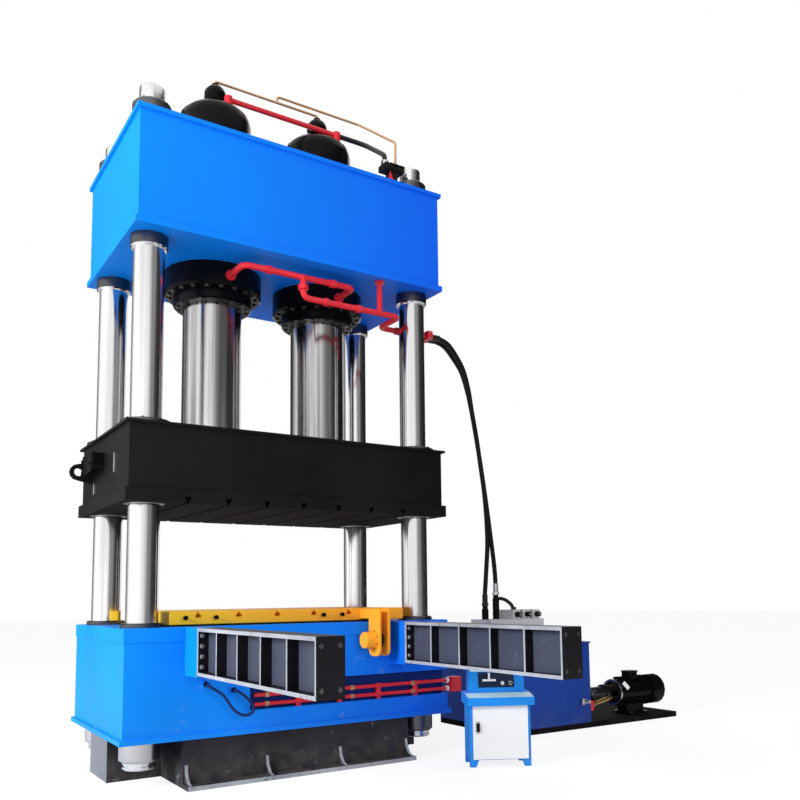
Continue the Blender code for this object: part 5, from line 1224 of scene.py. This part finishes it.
@dataclass
class BedAndRails(Assembly):
    """The bed's welds, root-plate bolts and pipe couplings, and the rails' bolts."""

    base_height: float = 0.427
    half_length: float = 1.76
    half_width: float = 0.97
    top_lip: float = 0.125
    bottom_plate: float = 0.045
    rail_root: float = -1.3003
    root_plate: float = 0.0303
    rail_tip: float = -3.6203
    rail_height: float = 0.42
    root_rows: tuple[float, ...] = (0.18, 0.40, 0.62, 0.84)
    tip_rows: tuple[float, ...] = (0.15, 0.85)
    pipe_levels: tuple[float, float] = (0.685, 0.775)
    pipe_y: float = -0.925
    nut_places: tuple[float, ...] = (-0.40, 0.55, 1.30)
    weld: float = 0.008

    def build(self) -> None:
        """Makes the bed's and rails' pieces."""
        levels = (BED_TOP - self.top_lip, self.base_height + self.bottom_plate)
        lines = [around(self.half_length, self.half_width, level) for level in levels]
        self.beads.build("bed_welds", lines, BED_BLUE, "frame_blue", self.body, self.weld)
        for side in (-1, 1):
            x = side * RAIL_X
            root = self.pattern(x, self.rail_root - self.root_plate, 0.075, self.root_rows)
            self.bright_bolts(root, -Y_AXIS, 0.016)
            self.dark_bolts(self.pattern(x, self.rail_tip, 0.07, self.tip_rows), -Y_AXIS, 0.014)
        self.couplings()

    def pattern(self, x: float, y: float, half: float, rows: Iterable[float]) -> list[Point]:
        """Two columns of bolts on a rail's plate.

        Args:
            x: The rail's middle.
            y: The plate's face.
            half: Half the way between the columns.
            rows: The bolts' heights, as shares of the rail's.

        Returns:
            The bolts' places.
        """
        low = BED_TOP - self.rail_height
        return [(x + across, y, low + self.rail_height * share) for across in (-half, half) for share in rows]

    def couplings(self) -> None:
        """Makes the white couplings and the nuts on the bed's two pipes."""
        white, nuts = Shape(), Shape()
        for level in self.pipe_levels:
            white.rod((1.772, self.pipe_y, level), (1.80, self.pipe_y, level), 0.031, sides=20)
            for x in self.nut_places:
                nuts.rod((x, self.pipe_y, level), (x + 0.04, self.pipe_y, level), 0.028, sides=6)
            nuts.rod((1.94, self.pipe_y, level), (1.965, self.pipe_y, level), 0.024, sides=6)
        put("bed_pipe_couplings", white, DOOR_WHITE, "console_white")
        put("bed_pipe_nuts", nuts, DULL_BRASS, "pipe_brass")


@dataclass
class Bolster(Assembly):
    """What is on the bolster: hook pins, and the drive's bolts and chain wheel."""

    body: ClassVar[Body] = Body.BOLSTER
    front: float = -0.79
    hooks: tuple[float, ...] = (-1.16, -0.86, 0.30, 0.52)
    hook_level: float = 1.53
    drive_y: float = -1.095
    drive_z: float = 1.265
    drive_face: float = 0.7237
    chains: tuple[float, float] = (0.795, 0.822)
    wheel_radius: float = 0.062
    teeth: int = 14
    hub: tuple[float, float] = (0.768, 0.849)

    def on_axis(self, x: float) -> Point:
        """A point on the drive's axis."""
        return (x, self.drive_y, self.drive_z)

    def build(self) -> None:
        """Makes the bolster's pieces."""
        neck, head, z = self.front - 0.035, self.front - 0.045, self.hook_level
        pins = Shape()
        for x in self.hooks:
            pins.rod((x, self.front, z), (x, neck, z), 0.014, sides=16)
            pins.rod((x, neck, z), (x, head, z), 0.022, sides=16)
        put("bolster_hooks", pins, MACHINE_BLACK, "machine_black", self.body)
        self.dark_bolts(circle(self.on_axis(self.drive_face), 0.0925, 8, X_AXIS, 22.5), -X_AXIS, 0.007)
        wheel = Shape()
        rim = []
        for x in self.chains:
            wheel.rod(self.on_axis(x - 0.004), self.on_axis(x + 0.004), self.wheel_radius, sides=28)
            rim.extend(circle(self.on_axis(x), self.wheel_radius, self.teeth, X_AXIS))
        for spot in rim:
            wheel.rod(spot - X_AXIS * 0.003, spot + X_AXIS * 0.003, 0.009, sides=8)
        wheel.rod(*(self.on_axis(x) for x in self.hub), 0.036, sides=20)
        put("drive_chain_wheel", wheel, OILED_STEEL, "dark_steel", self.body)


@dataclass
class Console(Assembly):
    """The operator's console: its door trim, desk plate and panel, in its own turned axes."""

    x: float = 1.79
    y: float = -1.79
    turn: float = -28.0
    lean: float = 12.0
    leg: float = 0.07
    cabinet: float = 0.54
    desk: float = 0.11
    desk_width: float = 0.68
    width: float = 0.62
    depth: float = 0.34
    overhang: float = 0.07
    slope: float = 0.03
    panel_base: float = 0.20
    setback: float = 0.01
    door_gap: float = 0.0003
    door: float = 0.018
    hinges: tuple[float, float] = (0.16, 0.52)
    recess: tuple[float, float, float, float] = (0.38, 0.16, 0.045, 0.004)
    plate: float = 0.0012
    margin: float = 0.003
    post_x: float = 0.245
    post_half: float = 0.035
    strip_half: float = 0.27
    button_places: Sequence[tuple[float, float]] = ((0.065, 0.09), (0.15, 0.09))

    def place(self) -> Matrix:
        """The console's own axes."""
        return Matrix.Translation((self.x, self.y, 0)) @ Matrix.Rotation(math.radians(self.turn), 4, "Z")

    def panel_foot(self) -> float:
        """Where the panel's face meets the desk."""
        return self.depth / 2 - self.panel_base + self.setback

    def panel(self) -> Matrix:
        """The panel's axes: x right, y up its face, z out of it."""
        foot = Vector((0, self.panel_foot(), self.leg + self.cabinet + self.desk))
        return self.place() @ Matrix.Translation(foot) @ Matrix.Rotation(math.radians(90 - self.lean), 4, "X")

    def build(self) -> None:
        """Makes the console's pieces."""
        self.desk_plate()
        self.door_trim()
        self.panel_face()
        self.rings()

    def desk_plate(self) -> None:
        """Makes the pale steel plate on the desk's slope."""
        high = self.leg + self.cabinet + self.desk
        front, rear = -self.depth / 2 - self.overhang, self.panel_foot() - 0.012
        run = self.depth / 2 - self.panel_base - front
        tilt = math.atan2(self.slope, run)
        at = self.place() @ Matrix.Translation((0, front, high - self.slope)) @ Matrix.Rotation(tilt, 4, "X")
        length = (rear - front) / math.cos(tilt)
        half = self.desk_width / 2
        plate = Shape(at).block((-half + 0.006, 0.006, 0), (half - 0.006, length - 0.02, 0.002))
        put("desk_plate", plate, DESK_STEEL, "console_white")

    def door_trim(self) -> None:
        """Makes the door's hinges and the lock's plate."""
        front = -self.depth / 2 - self.door_gap - self.door
        axis = front + 0.009
        half = self.width / 2 - 0.03
        hinges = Shape(self.place())
        for z in self.hinges:
            hinges.rod((half, axis, z - 0.025), (half, axis, z + 0.025), 0.0085, sides=16)
        put("door_hinges", hinges, BRIGHT_STEEL, "ground_steel", Body.DOOR)
        plate = Shape(self.place())
        plate.block((-half + 0.028, front - 0.0002, 0.33), (-half + 0.072, front, 0.455))
        put("latch_plate", plate, BRIGHT_STEEL, "ground_steel", Body.DOOR)

    def panel_face(self) -> None:
        """Makes the dark plate in the panel's recess, the pale strip over it and the side posts."""
        wide, tall, rise, deep = self.recess
        inset = self.margin
        low = (-wide / 2 + inset, rise + inset, -deep)
        high = (wide / 2 - inset, rise + tall - inset, -deep + self.plate)
        put("panel_plate", Shape(self.panel()).block(low, high), PANEL_DARK, "machine_black")
        over = rise + tall + 0.03
        strip = Shape(self.panel())
        strip.block((-self.strip_half, rise + tall + 0.006, 0), (self.strip_half, over, 0.004), 0.001)
        put("panel_strip", strip, DESK_STEEL, "console_white")
        posts = Shape(self.panel())
        for x in (-self.post_x, self.post_x):
            posts.block((x - self.post_half, 0.004, 0), (x + self.post_half, over, 0.003), 0.001)
        put("panel_posts", posts, CONSOLE_BLUE, "panel_blue")

    def rings(self) -> None:
        """Makes the bezels round the two buttons."""
        deep = self.recess[3]
        bezels = Shape(self.panel())
        for x, y in self.button_places:
            profile = [(0.0145, 0), (0.021, 0), (0.021, 0.003), (0.0145, 0.004)]
            bezels.lathe(profile, (x, y, -deep + self.plate), sides=28)
        put("panel_bezels", bezels, BRIGHT_STEEL, "ground_steel")


@dataclass
class PowerUnit(Assembly):
    """What is on the power unit: gauges, pump lines, the motor's grille and the fittings."""

    tank_right: float = 4.24
    tank_front: float = -0.70
    tank_rear: float = 0.85
    tank_top: float = 1.10
    lid_bolts: tuple[float, ...] = (3.0, 3.4, 3.8, 4.19)
    cover_y: float = 0.295
    cover_rise: float = 0.515
    cover_depth: float = 0.02
    sight_x: tuple[float, float] = (3.12, 3.17)
    drain: tuple[float, float] = (3.45, 0.16)
    skid_height: float = 0.07
    pump_flange: float = 4.5344
    bell_face: float = 4.9797
    foot_places: tuple[float, float] = (5.18, 5.44)
    foot_height: float = 0.025
    foot_half: float = 0.13
    motor_right: float = 5.80
    motor_y: float = -0.40
    shaft: float = 0.37
    port: tuple[float, float] = (4.40, -0.40)
    line_radius: float = 0.021
    line_route: Sequence[Point] = (
        (4.40, -0.40, 0.46), (4.40, -0.40, 0.56), (4.39, -0.40, 0.70), (4.34, -0.38, 0.95),
        (4.30, -0.30, 1.15), (4.18, -0.16, 1.25), (4.05, -0.08, 1.27), (3.95, -0.06, 1.27),
    )
    line_points: int = 60
    filter_y: float = -0.61
    filter_x: float = 4.29
    filter_corners: tuple[Point, Point] = ((4.2403, -0.66, 0.20), (4.34, -0.56, 0.33))
    tap_level: float = 0.34
    bell_back: float = 4.948
    bell_ring: tuple[float, float] = (0.148, 0.176)
    grille_rings: tuple[float, ...] = (0.045, 0.075, 0.105, 0.135)
    grille_wire: float = 0.0035
    spokes: int = 8
    box_rise: float = 0.175
    box_height: float = 0.09
    box_x: tuple[float, float] = (5.222, 5.398)
    valve_x: float = 3.50
    valve_pitch: float = 0.17
    valve_count: int = 3
    stack_reach: float = 0.22
    stack_level: float = 1.4603
    block_face: float = -0.20
    gauge_place: Point = (3.97, 0.10, 1.46)
    gauge_radius: float = 0.055

    def on_shaft(self, x: float) -> Point:
        """A point on the motor's axis."""
        return (x, self.motor_y, self.shaft)

    def build(self) -> None:
        """Makes the power unit's pieces."""
        self.bolts()
        self.tank()
        self.pump_lines()
        self.bell_trim()
        self.motor()
        self.valves()
        self.gauge()

    def bolts(self) -> None:
        """Asks for the tank's, pump's and motor's bolts."""
        cover = (self.tank_right + self.cover_depth, self.cover_y, self.skid_height + self.cover_rise)
        self.bright_bolts(circle(cover, 0.195, 16, X_AXIS), X_AXIS, 0.011)
        self.bright_bolts(circle(self.on_shaft(self.pump_flange), 0.1065, 6, X_AXIS), -X_AXIS, 0.009)
        self.bright_bolts(circle(self.on_shaft(self.bell_face), 0.160, 8, X_AXIS, 22.5), -X_AXIS, 0.009)
        level, half = self.skid_height + self.foot_height, self.foot_half
        feet = [(x, self.motor_y + y, level) for x in self.foot_places for y in (-half, half)]
        self.bright_bolts(feet, Z_AXIS, 0.013)
        rows = (self.tank_front + 0.05, self.tank_rear - 0.05)
        lid = [(x, y, self.tank_top) for x in self.lid_bolts for y in rows]
        self.bright_bolts(lid, Z_AXIS, 0.010)

    def tank(self) -> None:
        """Makes the sight gauge and drain plug on the tank's back."""
        y = self.tank_rear
        (left, right), (x, z) = self.sight_x, self.drain
        holder, glass, drain = Shape(), Shape(), Shape()
        holder.block((left, y, 0.55), (right, y + 0.010, 0.90), 0.003)
        glass.block((3.133, y + 0.006, 0.60), (3.157, y + 0.014, 0.85), 0.002)
        drain.rod((x, y, z), (x, y + 0.014, z), 0.024, sides=6)
        put("sight_gauge_holder", holder, BRIGHT_STEEL, "ground_steel")
        put("sight_gauge_glass", glass, SIGHT_AMBER, "pipe_brass")
        put("tank_drain", drain, DULL_BRASS, "pipe_brass")

    def pump_lines(self) -> None:
        """Makes the pressure line from the pump to the valve block, and its red and brass fittings."""
        line = smooth_route(self.line_route, self.line_points)
        put("pump_line", Shape().sweep(line, self.line_radius), OILED_STEEL, "dark_steel")
        x, y = self.filter_x, self.filter_y
        red, brass, silver = Shape(), Shape(), Shape()
        red.rod((*self.port, 0.455), (*self.port, 0.52), 0.034, sides=6)
        red.rod((3.92, -0.06, 1.27), (3.97, -0.06, 1.27), 0.034, sides=6)
        red.block(*self.filter_corners, 0.008)
        red.rod((x, y, 0.33), (x, y, 0.37), 0.03, sides=6)
        brass.rod((4.34, y, 0.27), (4.39, y, 0.275), 0.036, sides=6)
        brass.rod((4.39, y, 0.275), (4.66, -0.572, 0.315), 0.026, 0.034, sides=20)
        brass.rod((4.66, -0.572, 0.315), (4.78, -0.548, 0.325), 0.034, 0.018, sides=20)
        brass.rod((x, y, 0.37), (x, y, 0.41), 0.018, sides=16)
        y, z = self.tank_front, self.tap_level
        silver.rod((4.13, y, z), (4.13, y - 0.035, z), 0.034, sides=6)
        silver.rod((4.13, y - 0.035, z), (4.13, y - 0.085, z), 0.022, sides=16)
        silver.rod((4.165, y - 0.065, z), (4.04, y - 0.065, z), 0.017, sides=16)
        silver.rod((4.04, y - 0.065, 0.31), (4.04, y - 0.065, 0.385), 0.024, sides=6)
        put("pump_unions", red, PIPE_RED, "pipe_red")
        put("pump_brass", brass, BRIGHT_BRASS, "pipe_brass")
        put("tank_fittings", silver, BRIGHT_STEEL, "ground_steel")

    def bell_trim(self) -> None:
        """Makes the bright ring and the blank plate on the coupling's bell."""
        inner, outer = self.bell_ring
        ring = Shape()
        profile = [(inner, 0), (outer, 0), (outer, 0.030), (inner, 0.030)]
        ring.lathe(profile, self.on_shaft(self.bell_back), X_AXIS, 40)
        put("bell_ring", ring, BRIGHT_STEEL, "ground_steel")
        flank = Matrix.Translation((5.04, self.motor_y - 0.172, self.shaft + 0.095))
        lean = Matrix.Rotation(math.radians(-29), 4, "X") @ Matrix.Rotation(math.radians(-28), 4, "Y")
        plate = Shape(flank @ lean)
        plate.block((-0.035, -0.014, -0.055), (0.035, -0.003, 0.055), 0.003)
        put("motor_plate", plate, DOOR_WHITE, "console_white")

    def motor(self) -> None:
        """Makes the fan cowl's grille and the terminal box's lid and gland."""
        end, wire = self.motor_right, self.grille_wire
        grille = Shape()
        for radius in self.grille_rings:
            inner, outer = radius - wire, radius + wire
            profile = [(inner, 0), (outer, 0), (outer, 0.004), (inner, 0.004)]
            grille.lathe(profile, self.on_shaft(end - 0.006), X_AXIS, 40)
        middle = Vector(self.on_shaft(end - 0.004))
        for i in range(self.spokes):
            angle = math.pi * i / 4
            way = Vector((0, math.cos(angle), math.sin(angle)))
            grille.rod(middle + way * 0.015, middle + way * 0.153, 0.003, sides=6)
        grille.rod(self.on_shaft(end - 0.007), self.on_shaft(end - 0.001), 0.03, sides=20)
        put("fan_grille", grille, MACHINE_BLACK, "machine_black")
        box = Shape()
        y, top = self.motor_y, self.shaft + self.box_rise + self.box_height
        left, right = self.box_x
        box.block((left, y - 0.078, top - 0.006), (right, y + 0.078, top + 0.012), 0.004)
        box.rod((5.31, y - 0.07, top - 0.045), (5.31, y - 0.105, top - 0.045), 0.016, sides=12)
        put("terminal_lid", box, MACHINE_BLACK, "machine_black")

    def valves(self) -> None:
        """Makes the valve stack's solenoid caps and the valve block's plugs."""
        face = self.block_face
        caps, plugs = Shape(), Shape()
        for i in range(self.valve_count):
            x = self.valve_x + self.valve_pitch * i
            for side in (-1, 1):
                foot = Vector((x, STACK_Y + side * self.stack_reach, self.stack_level))
                caps.rod(foot, foot + Y_AXIS * side * 0.012, 0.022, sides=16)
            plugs.rod((x, face, 1.25), (x, face - 0.015, 1.25), 0.02, sides=6)
        plugs.rod((3.20, face, 1.19), (3.20, face - 0.02, 1.19), 0.024, sides=6)
        put("solenoid_caps", caps, BRIGHT_STEEL, "ground_steel")
        put("block_plugs", plugs, BRIGHT_STEEL, "ground_steel")

    def gauge(self) -> None:
        """Makes the pressure gauge on the valve block and its dial."""
        wide = self.gauge_radius
        gauge, dial = Shape(), Shape()
        gauge.rod((3.92, 0.08, 1.36), (3.98, 0.08, 1.36), 0.014, sides=12)
        gauge.rod((3.97, 0.08, 1.355), (3.97, 0.08, 1.42), 0.014, sides=12)
        case = [(0, 0), (wide, 0), (wide, 0.03), (0.048, 0.034), (0, 0.034)]
        gauge.lathe(case, self.gauge_place, -Y_AXIS, 32)
        dial.lathe([(0, 0.0342), (0.046, 0.0342), (0.046, 0.036), (0, 0.036)], self.gauge_place, -Y_AXIS, 32)
        put("pressure_gauge", gauge, BRIGHT_STEEL, "ground_steel")
        put("pressure_dial", dial, DIAL_WHITE, "console_white")


# Studio


@dataclass
class Studio:
    """The photograph's camera, a pale floor, soft lamps, and the dark and pale walls that metal mirrors."""

    position: Point = (-3.7275, -8.588, 1.701)
    yaw: float = 33.393
    pitch: float = 5.697
    roll: float = -0.662
    focal: float = 831.55
    centre: tuple[float, float] = (410.383, 514.219)
    size: float = 800.0
    sensor: float = 36.0
    floor_reach: float = 70.0
    floor_level: float = -0.001
    floor_colour: Colour = (0.85, 0.85, 0.85)
    floor_glow: float = 1.16
    floor_share: float = 0.72
    wall_radius: float = 17.0
    wall_foot: float = -1.0
    wall_height: float = 22.0
    wall_steps: int = 72
    wall_span: float = 300.0
    wall_tones: Sequence[tuple[float, float]] = (
        (-150, 0.04), (-128, 0.06), (-104, 0.60), (-86, 1.15), (12, 1.15), (30, 0.66), (44, 0.22), (58, 0.30),
        (76, 0.06), (110, 0.02), (150, 0.02),
    )

    def camera(self) -> None:
        """Makes the camera."""
        data = bpy.data.cameras.new("photo_camera")
        data.sensor_width = self.sensor
        data.sensor_fit = "HORIZONTAL"
        data.lens = self.focal * self.sensor / self.size
        data.shift_x = (self.size / 2 - self.centre[0]) / self.size
        data.shift_y = (self.centre[1] - self.size / 2) / self.size
        data.clip_end = 200
        camera = bpy.data.objects.new("photo_camera", data)
        bpy.context.scene.collection.objects.link(camera)
        yaw, pitch, roll = (math.radians(angle) for angle in (self.yaw, self.pitch, self.roll))
        ahead = Vector((math.sin(yaw) * math.cos(pitch), math.cos(yaw) * math.cos(pitch), math.sin(pitch)))
        right = Vector((math.cos(yaw), -math.sin(yaw), 0))
        up = right.cross(ahead)
        right, up = right * math.cos(roll) + up * math.sin(roll), up * math.cos(roll) - right * math.sin(roll)
        turn = Matrix((right, up, -ahead)).transposed().to_4x4()
        camera.matrix_world = Matrix.Translation(self.position) @ turn
        bpy.context.scene.camera = camera

    def lamp(self, name: str, position: Point, target: Point, size: float, power: float) -> None:
        """Makes a soft square lamp.

        Args:
            name: Its name.
            position: Where it stands.
            target: What it points at.
            size: Its side.
            power: Its power in watts.
        """
        data = bpy.data.lights.new(name, "AREA")
        data.shape = "SQUARE"
        data.size = size
        data.energy = power
        lamp = bpy.data.objects.new(name, data)
        bpy.context.scene.collection.objects.link(lamp)
        turn = (-Z_AXIS).rotation_difference(Vector(target) - Vector(position)).to_matrix().to_4x4()
        lamp.matrix_world = Matrix.Translation(position) @ turn
        lamp.visible_glossy = False

    def world(self) -> None:
        """Makes the sky: white to the camera and in mirrors, softer as light."""
        world = bpy.data.worlds.new("studio_world")
        bpy.context.scene.world = world
        world.use_nodes = True
        graph = Graph(world.node_tree)
        path = graph.tree.nodes.new("ShaderNodeLightPath")
        rays = ("Is Camera Ray", "Is Glossy Ray", "Is Transmission Ray")
        seen = [Wire(graph, path.outputs[name]) for name in rays]
        direct = seen[0].maths("MAXIMUM", seen[0].maths("MAXIMUM", seen[0], seen[1]), seen[2])
        back = world.node_tree.nodes["Background"]
        back.inputs["Color"].default_value = (1, 1, 1, 1)
        graph.feed(back.inputs["Strength"], 0.50 + direct * 0.50)

    def screen(self, name: str, mesh: bpy.types.Mesh) -> tuple[bpy.types.Object, Graph]:
        """Adds a mesh of the studio, with a material of its own.

        Args:
            name: Its name.
            mesh: The mesh.

        Returns:
            The object and its material's graph.
        """
        screen = bpy.data.objects.new(name, mesh)
        bpy.context.scene.collection.objects.link(screen)
        made = bpy.data.materials.new(name)
        made.use_nodes = True
        mesh.materials.append(made)
        return screen, Graph(made.node_tree)

    def floor(self) -> None:
        """Makes the pale floor."""
        mesh = bpy.data.meshes.new("studio_floor")
        far, z = self.floor_reach, self.floor_level
        mesh.from_pydata([(-far, -far, z), (far, -far, z), (far, far, z), (-far, far, z)], [], [(0, 1, 2, 3)])
        floor, graph = self.screen("studio_floor", mesh)
        shader = graph.tree.nodes["Principled BSDF"]
        graph.feed(shader.inputs["Base Color"], self.floor_colour)
        shader.inputs["Roughness"].default_value = 0.9
        shader.inputs["Specular IOR Level"].default_value = 0.0
        glow = graph.node("ShaderNodeEmission", None, {"Color": WHITE, "Strength": self.floor_glow})
        path = graph.node("ShaderNodeLightPath", output="Is Camera Ray")
        halves = {0: path * self.floor_share, 1: Wire(graph, shader.outputs[0]), 2: glow}
        both = graph.node("ShaderNodeMixShader", None, halves)
        graph.feed(graph.tree.nodes["Material Output"].inputs["Surface"], both)

    def mirror_wall(self) -> None:
        """Makes the round wall that only mirrors see: pale at the left, dark at the right."""
        yaw = math.radians(self.yaw)
        right = Vector((math.cos(yaw), -math.sin(yaw), 0))
        back = Vector((-math.sin(yaw), -math.cos(yaw), 0))
        work = bmesh.new()
        tone = work.verts.layers.float.new("tone")
        rings = []
        for i in range(self.wall_steps + 1):
            angle = math.radians(-self.wall_span / 2 + self.wall_span * i / self.wall_steps)
            way = back * math.cos(angle) + right * math.sin(angle)
            pair = []
            for z in (self.wall_foot, self.wall_height):
                vert = work.verts.new(way * self.wall_radius + Z_AXIS * z)
                vert[tone] = self.shade(math.degrees(angle))
                pair.append(vert)
            rings.append(pair)
        for (a, b), (c, d) in zip(rings, rings[1:]):
            work.faces.new((a, c, d, b))
        mesh = bpy.data.meshes.new("mirror_wall")
        work.to_mesh(mesh)
        work.free()
        wall, graph = self.screen("mirror_wall", mesh)
        value = graph.node("ShaderNodeAttribute", {"attribute_name": "tone"}, output="Fac")
        glow = graph.node("ShaderNodeEmission", None, {"Color": WHITE, "Strength": value})
        graph.feed(graph.tree.nodes["Material Output"].inputs["Surface"], glow)
        for kind in ("camera", "diffuse", "transmission", "volume_scatter", "shadow"):
            setattr(wall, f"visible_{kind}", False)

    def shade(self, angle: float) -> float:
        """The mirror wall's tone.

        Args:
            angle: Degrees from behind the camera, to its right.

        Returns:
            From 0, black, to 1, white, and over 1 where it shines.
        """
        for (low, first), (high, last) in zip(self.wall_tones, self.wall_tones[1:]):
            if angle <= high:
                return first + (last - first) * (angle - low) / (high - low)
        return self.wall_tones[-1][1]

    def build(self) -> None:
        """Makes everything but the camera."""
        self.world()
        self.floor()
        self.mirror_wall()
        self.lamp("key_lamp", (-17.0, -3.5, 8.0), (0, 0, 3.0), 7.0, 3500.0)
        self.lamp("fill_lamp", (2.0, -18.0, 7.0), (0.5, 0, 3.0), 10.0, 800.0)


@dataclass(frozen=True)
class Skin:
    """A smooth copy of one solid of the frame, which stands for it in the render."""

    node: str
    finish: Finish
    slot: str
    accents: tuple[tuple[Finish, Rule], ...] = ()
    merge: float = 0.00002

    def build(self) -> None:
        """Merges a copy of the solid's mesh, smooths its round faces and gives it its finishes."""
        source = frame["nodes"][self.node]
        work = bmesh.new()
        work.from_mesh(source.data)
        bmesh.ops.remove_doubles(work, verts=work.verts, dist=self.merge)
        work.verts.index_update()
        mesh = bpy.data.meshes.new(self.node + "_skin")
        faces = [[vert.index for vert in face.verts] for face in work.faces]
        mesh.from_pydata([vert.co.copy() for vert in work.verts], [], faces)
        work.free()
        mesh.shade_smooth()
        mesh.set_sharp_from_angle(angle=SHARP_ANGLE)
        put(self.node + "_skin", mesh, self.finish, self.slot, Body(body_name(self.node)), [self.node])
        for index, (finish, rule) in enumerate(self.accents, start=1):
            mesh.materials.append(finish.material())
            for face in mesh.polygons:
                if rule(face.center, face.normal):
                    face.material_index = index


def body_name(node: str) -> str:
    """The body that a solid of the frame belongs to.

    Args:
        node: The solid's name.

    Returns:
        The body's name.
    """
    for name, members in frame["record"]["behaviour"]["bodies"].items():
        if node in members:
            return name
    return Body.FRAME.value


def dress_nodes(cords: Sequence[str] = ("hose_a", "hose_b", "cable_loop")) -> None:
    """Gives every solid of the frame its finish.

    Args:
        cords: The solids that the cords stand for.
    """
    for entry in frame["record"]["subparts"]:
        name, slot = entry["node"], entry["material_slot"]
        if name not in cords:
            finish = NODE_FINISHES.get(name) or SLOT_FINISHES[slot]
            Skin(name, finish, slot, ACCENTS.get(name, ())).build()


def main() -> None:
    """Builds the studio and the press's pieces."""
    logging.basicConfig(level=logging.INFO, format="%(name)s %(message)s")
    bpy.context.scene.view_settings.view_transform = "Standard"
    studio = Studio()
    studio.camera()
    Hoses().build()
    studio.build()
    dress_nodes()
    fasteners, beads = Fasteners(), Beads()
    for part in (Crown, PressurePipes, Slide, BedAndRails, Bolster, Console, PowerUnit):
        part(fasteners, beads).build()
    fasteners.build()


if __name__ == "__main__":
    main()
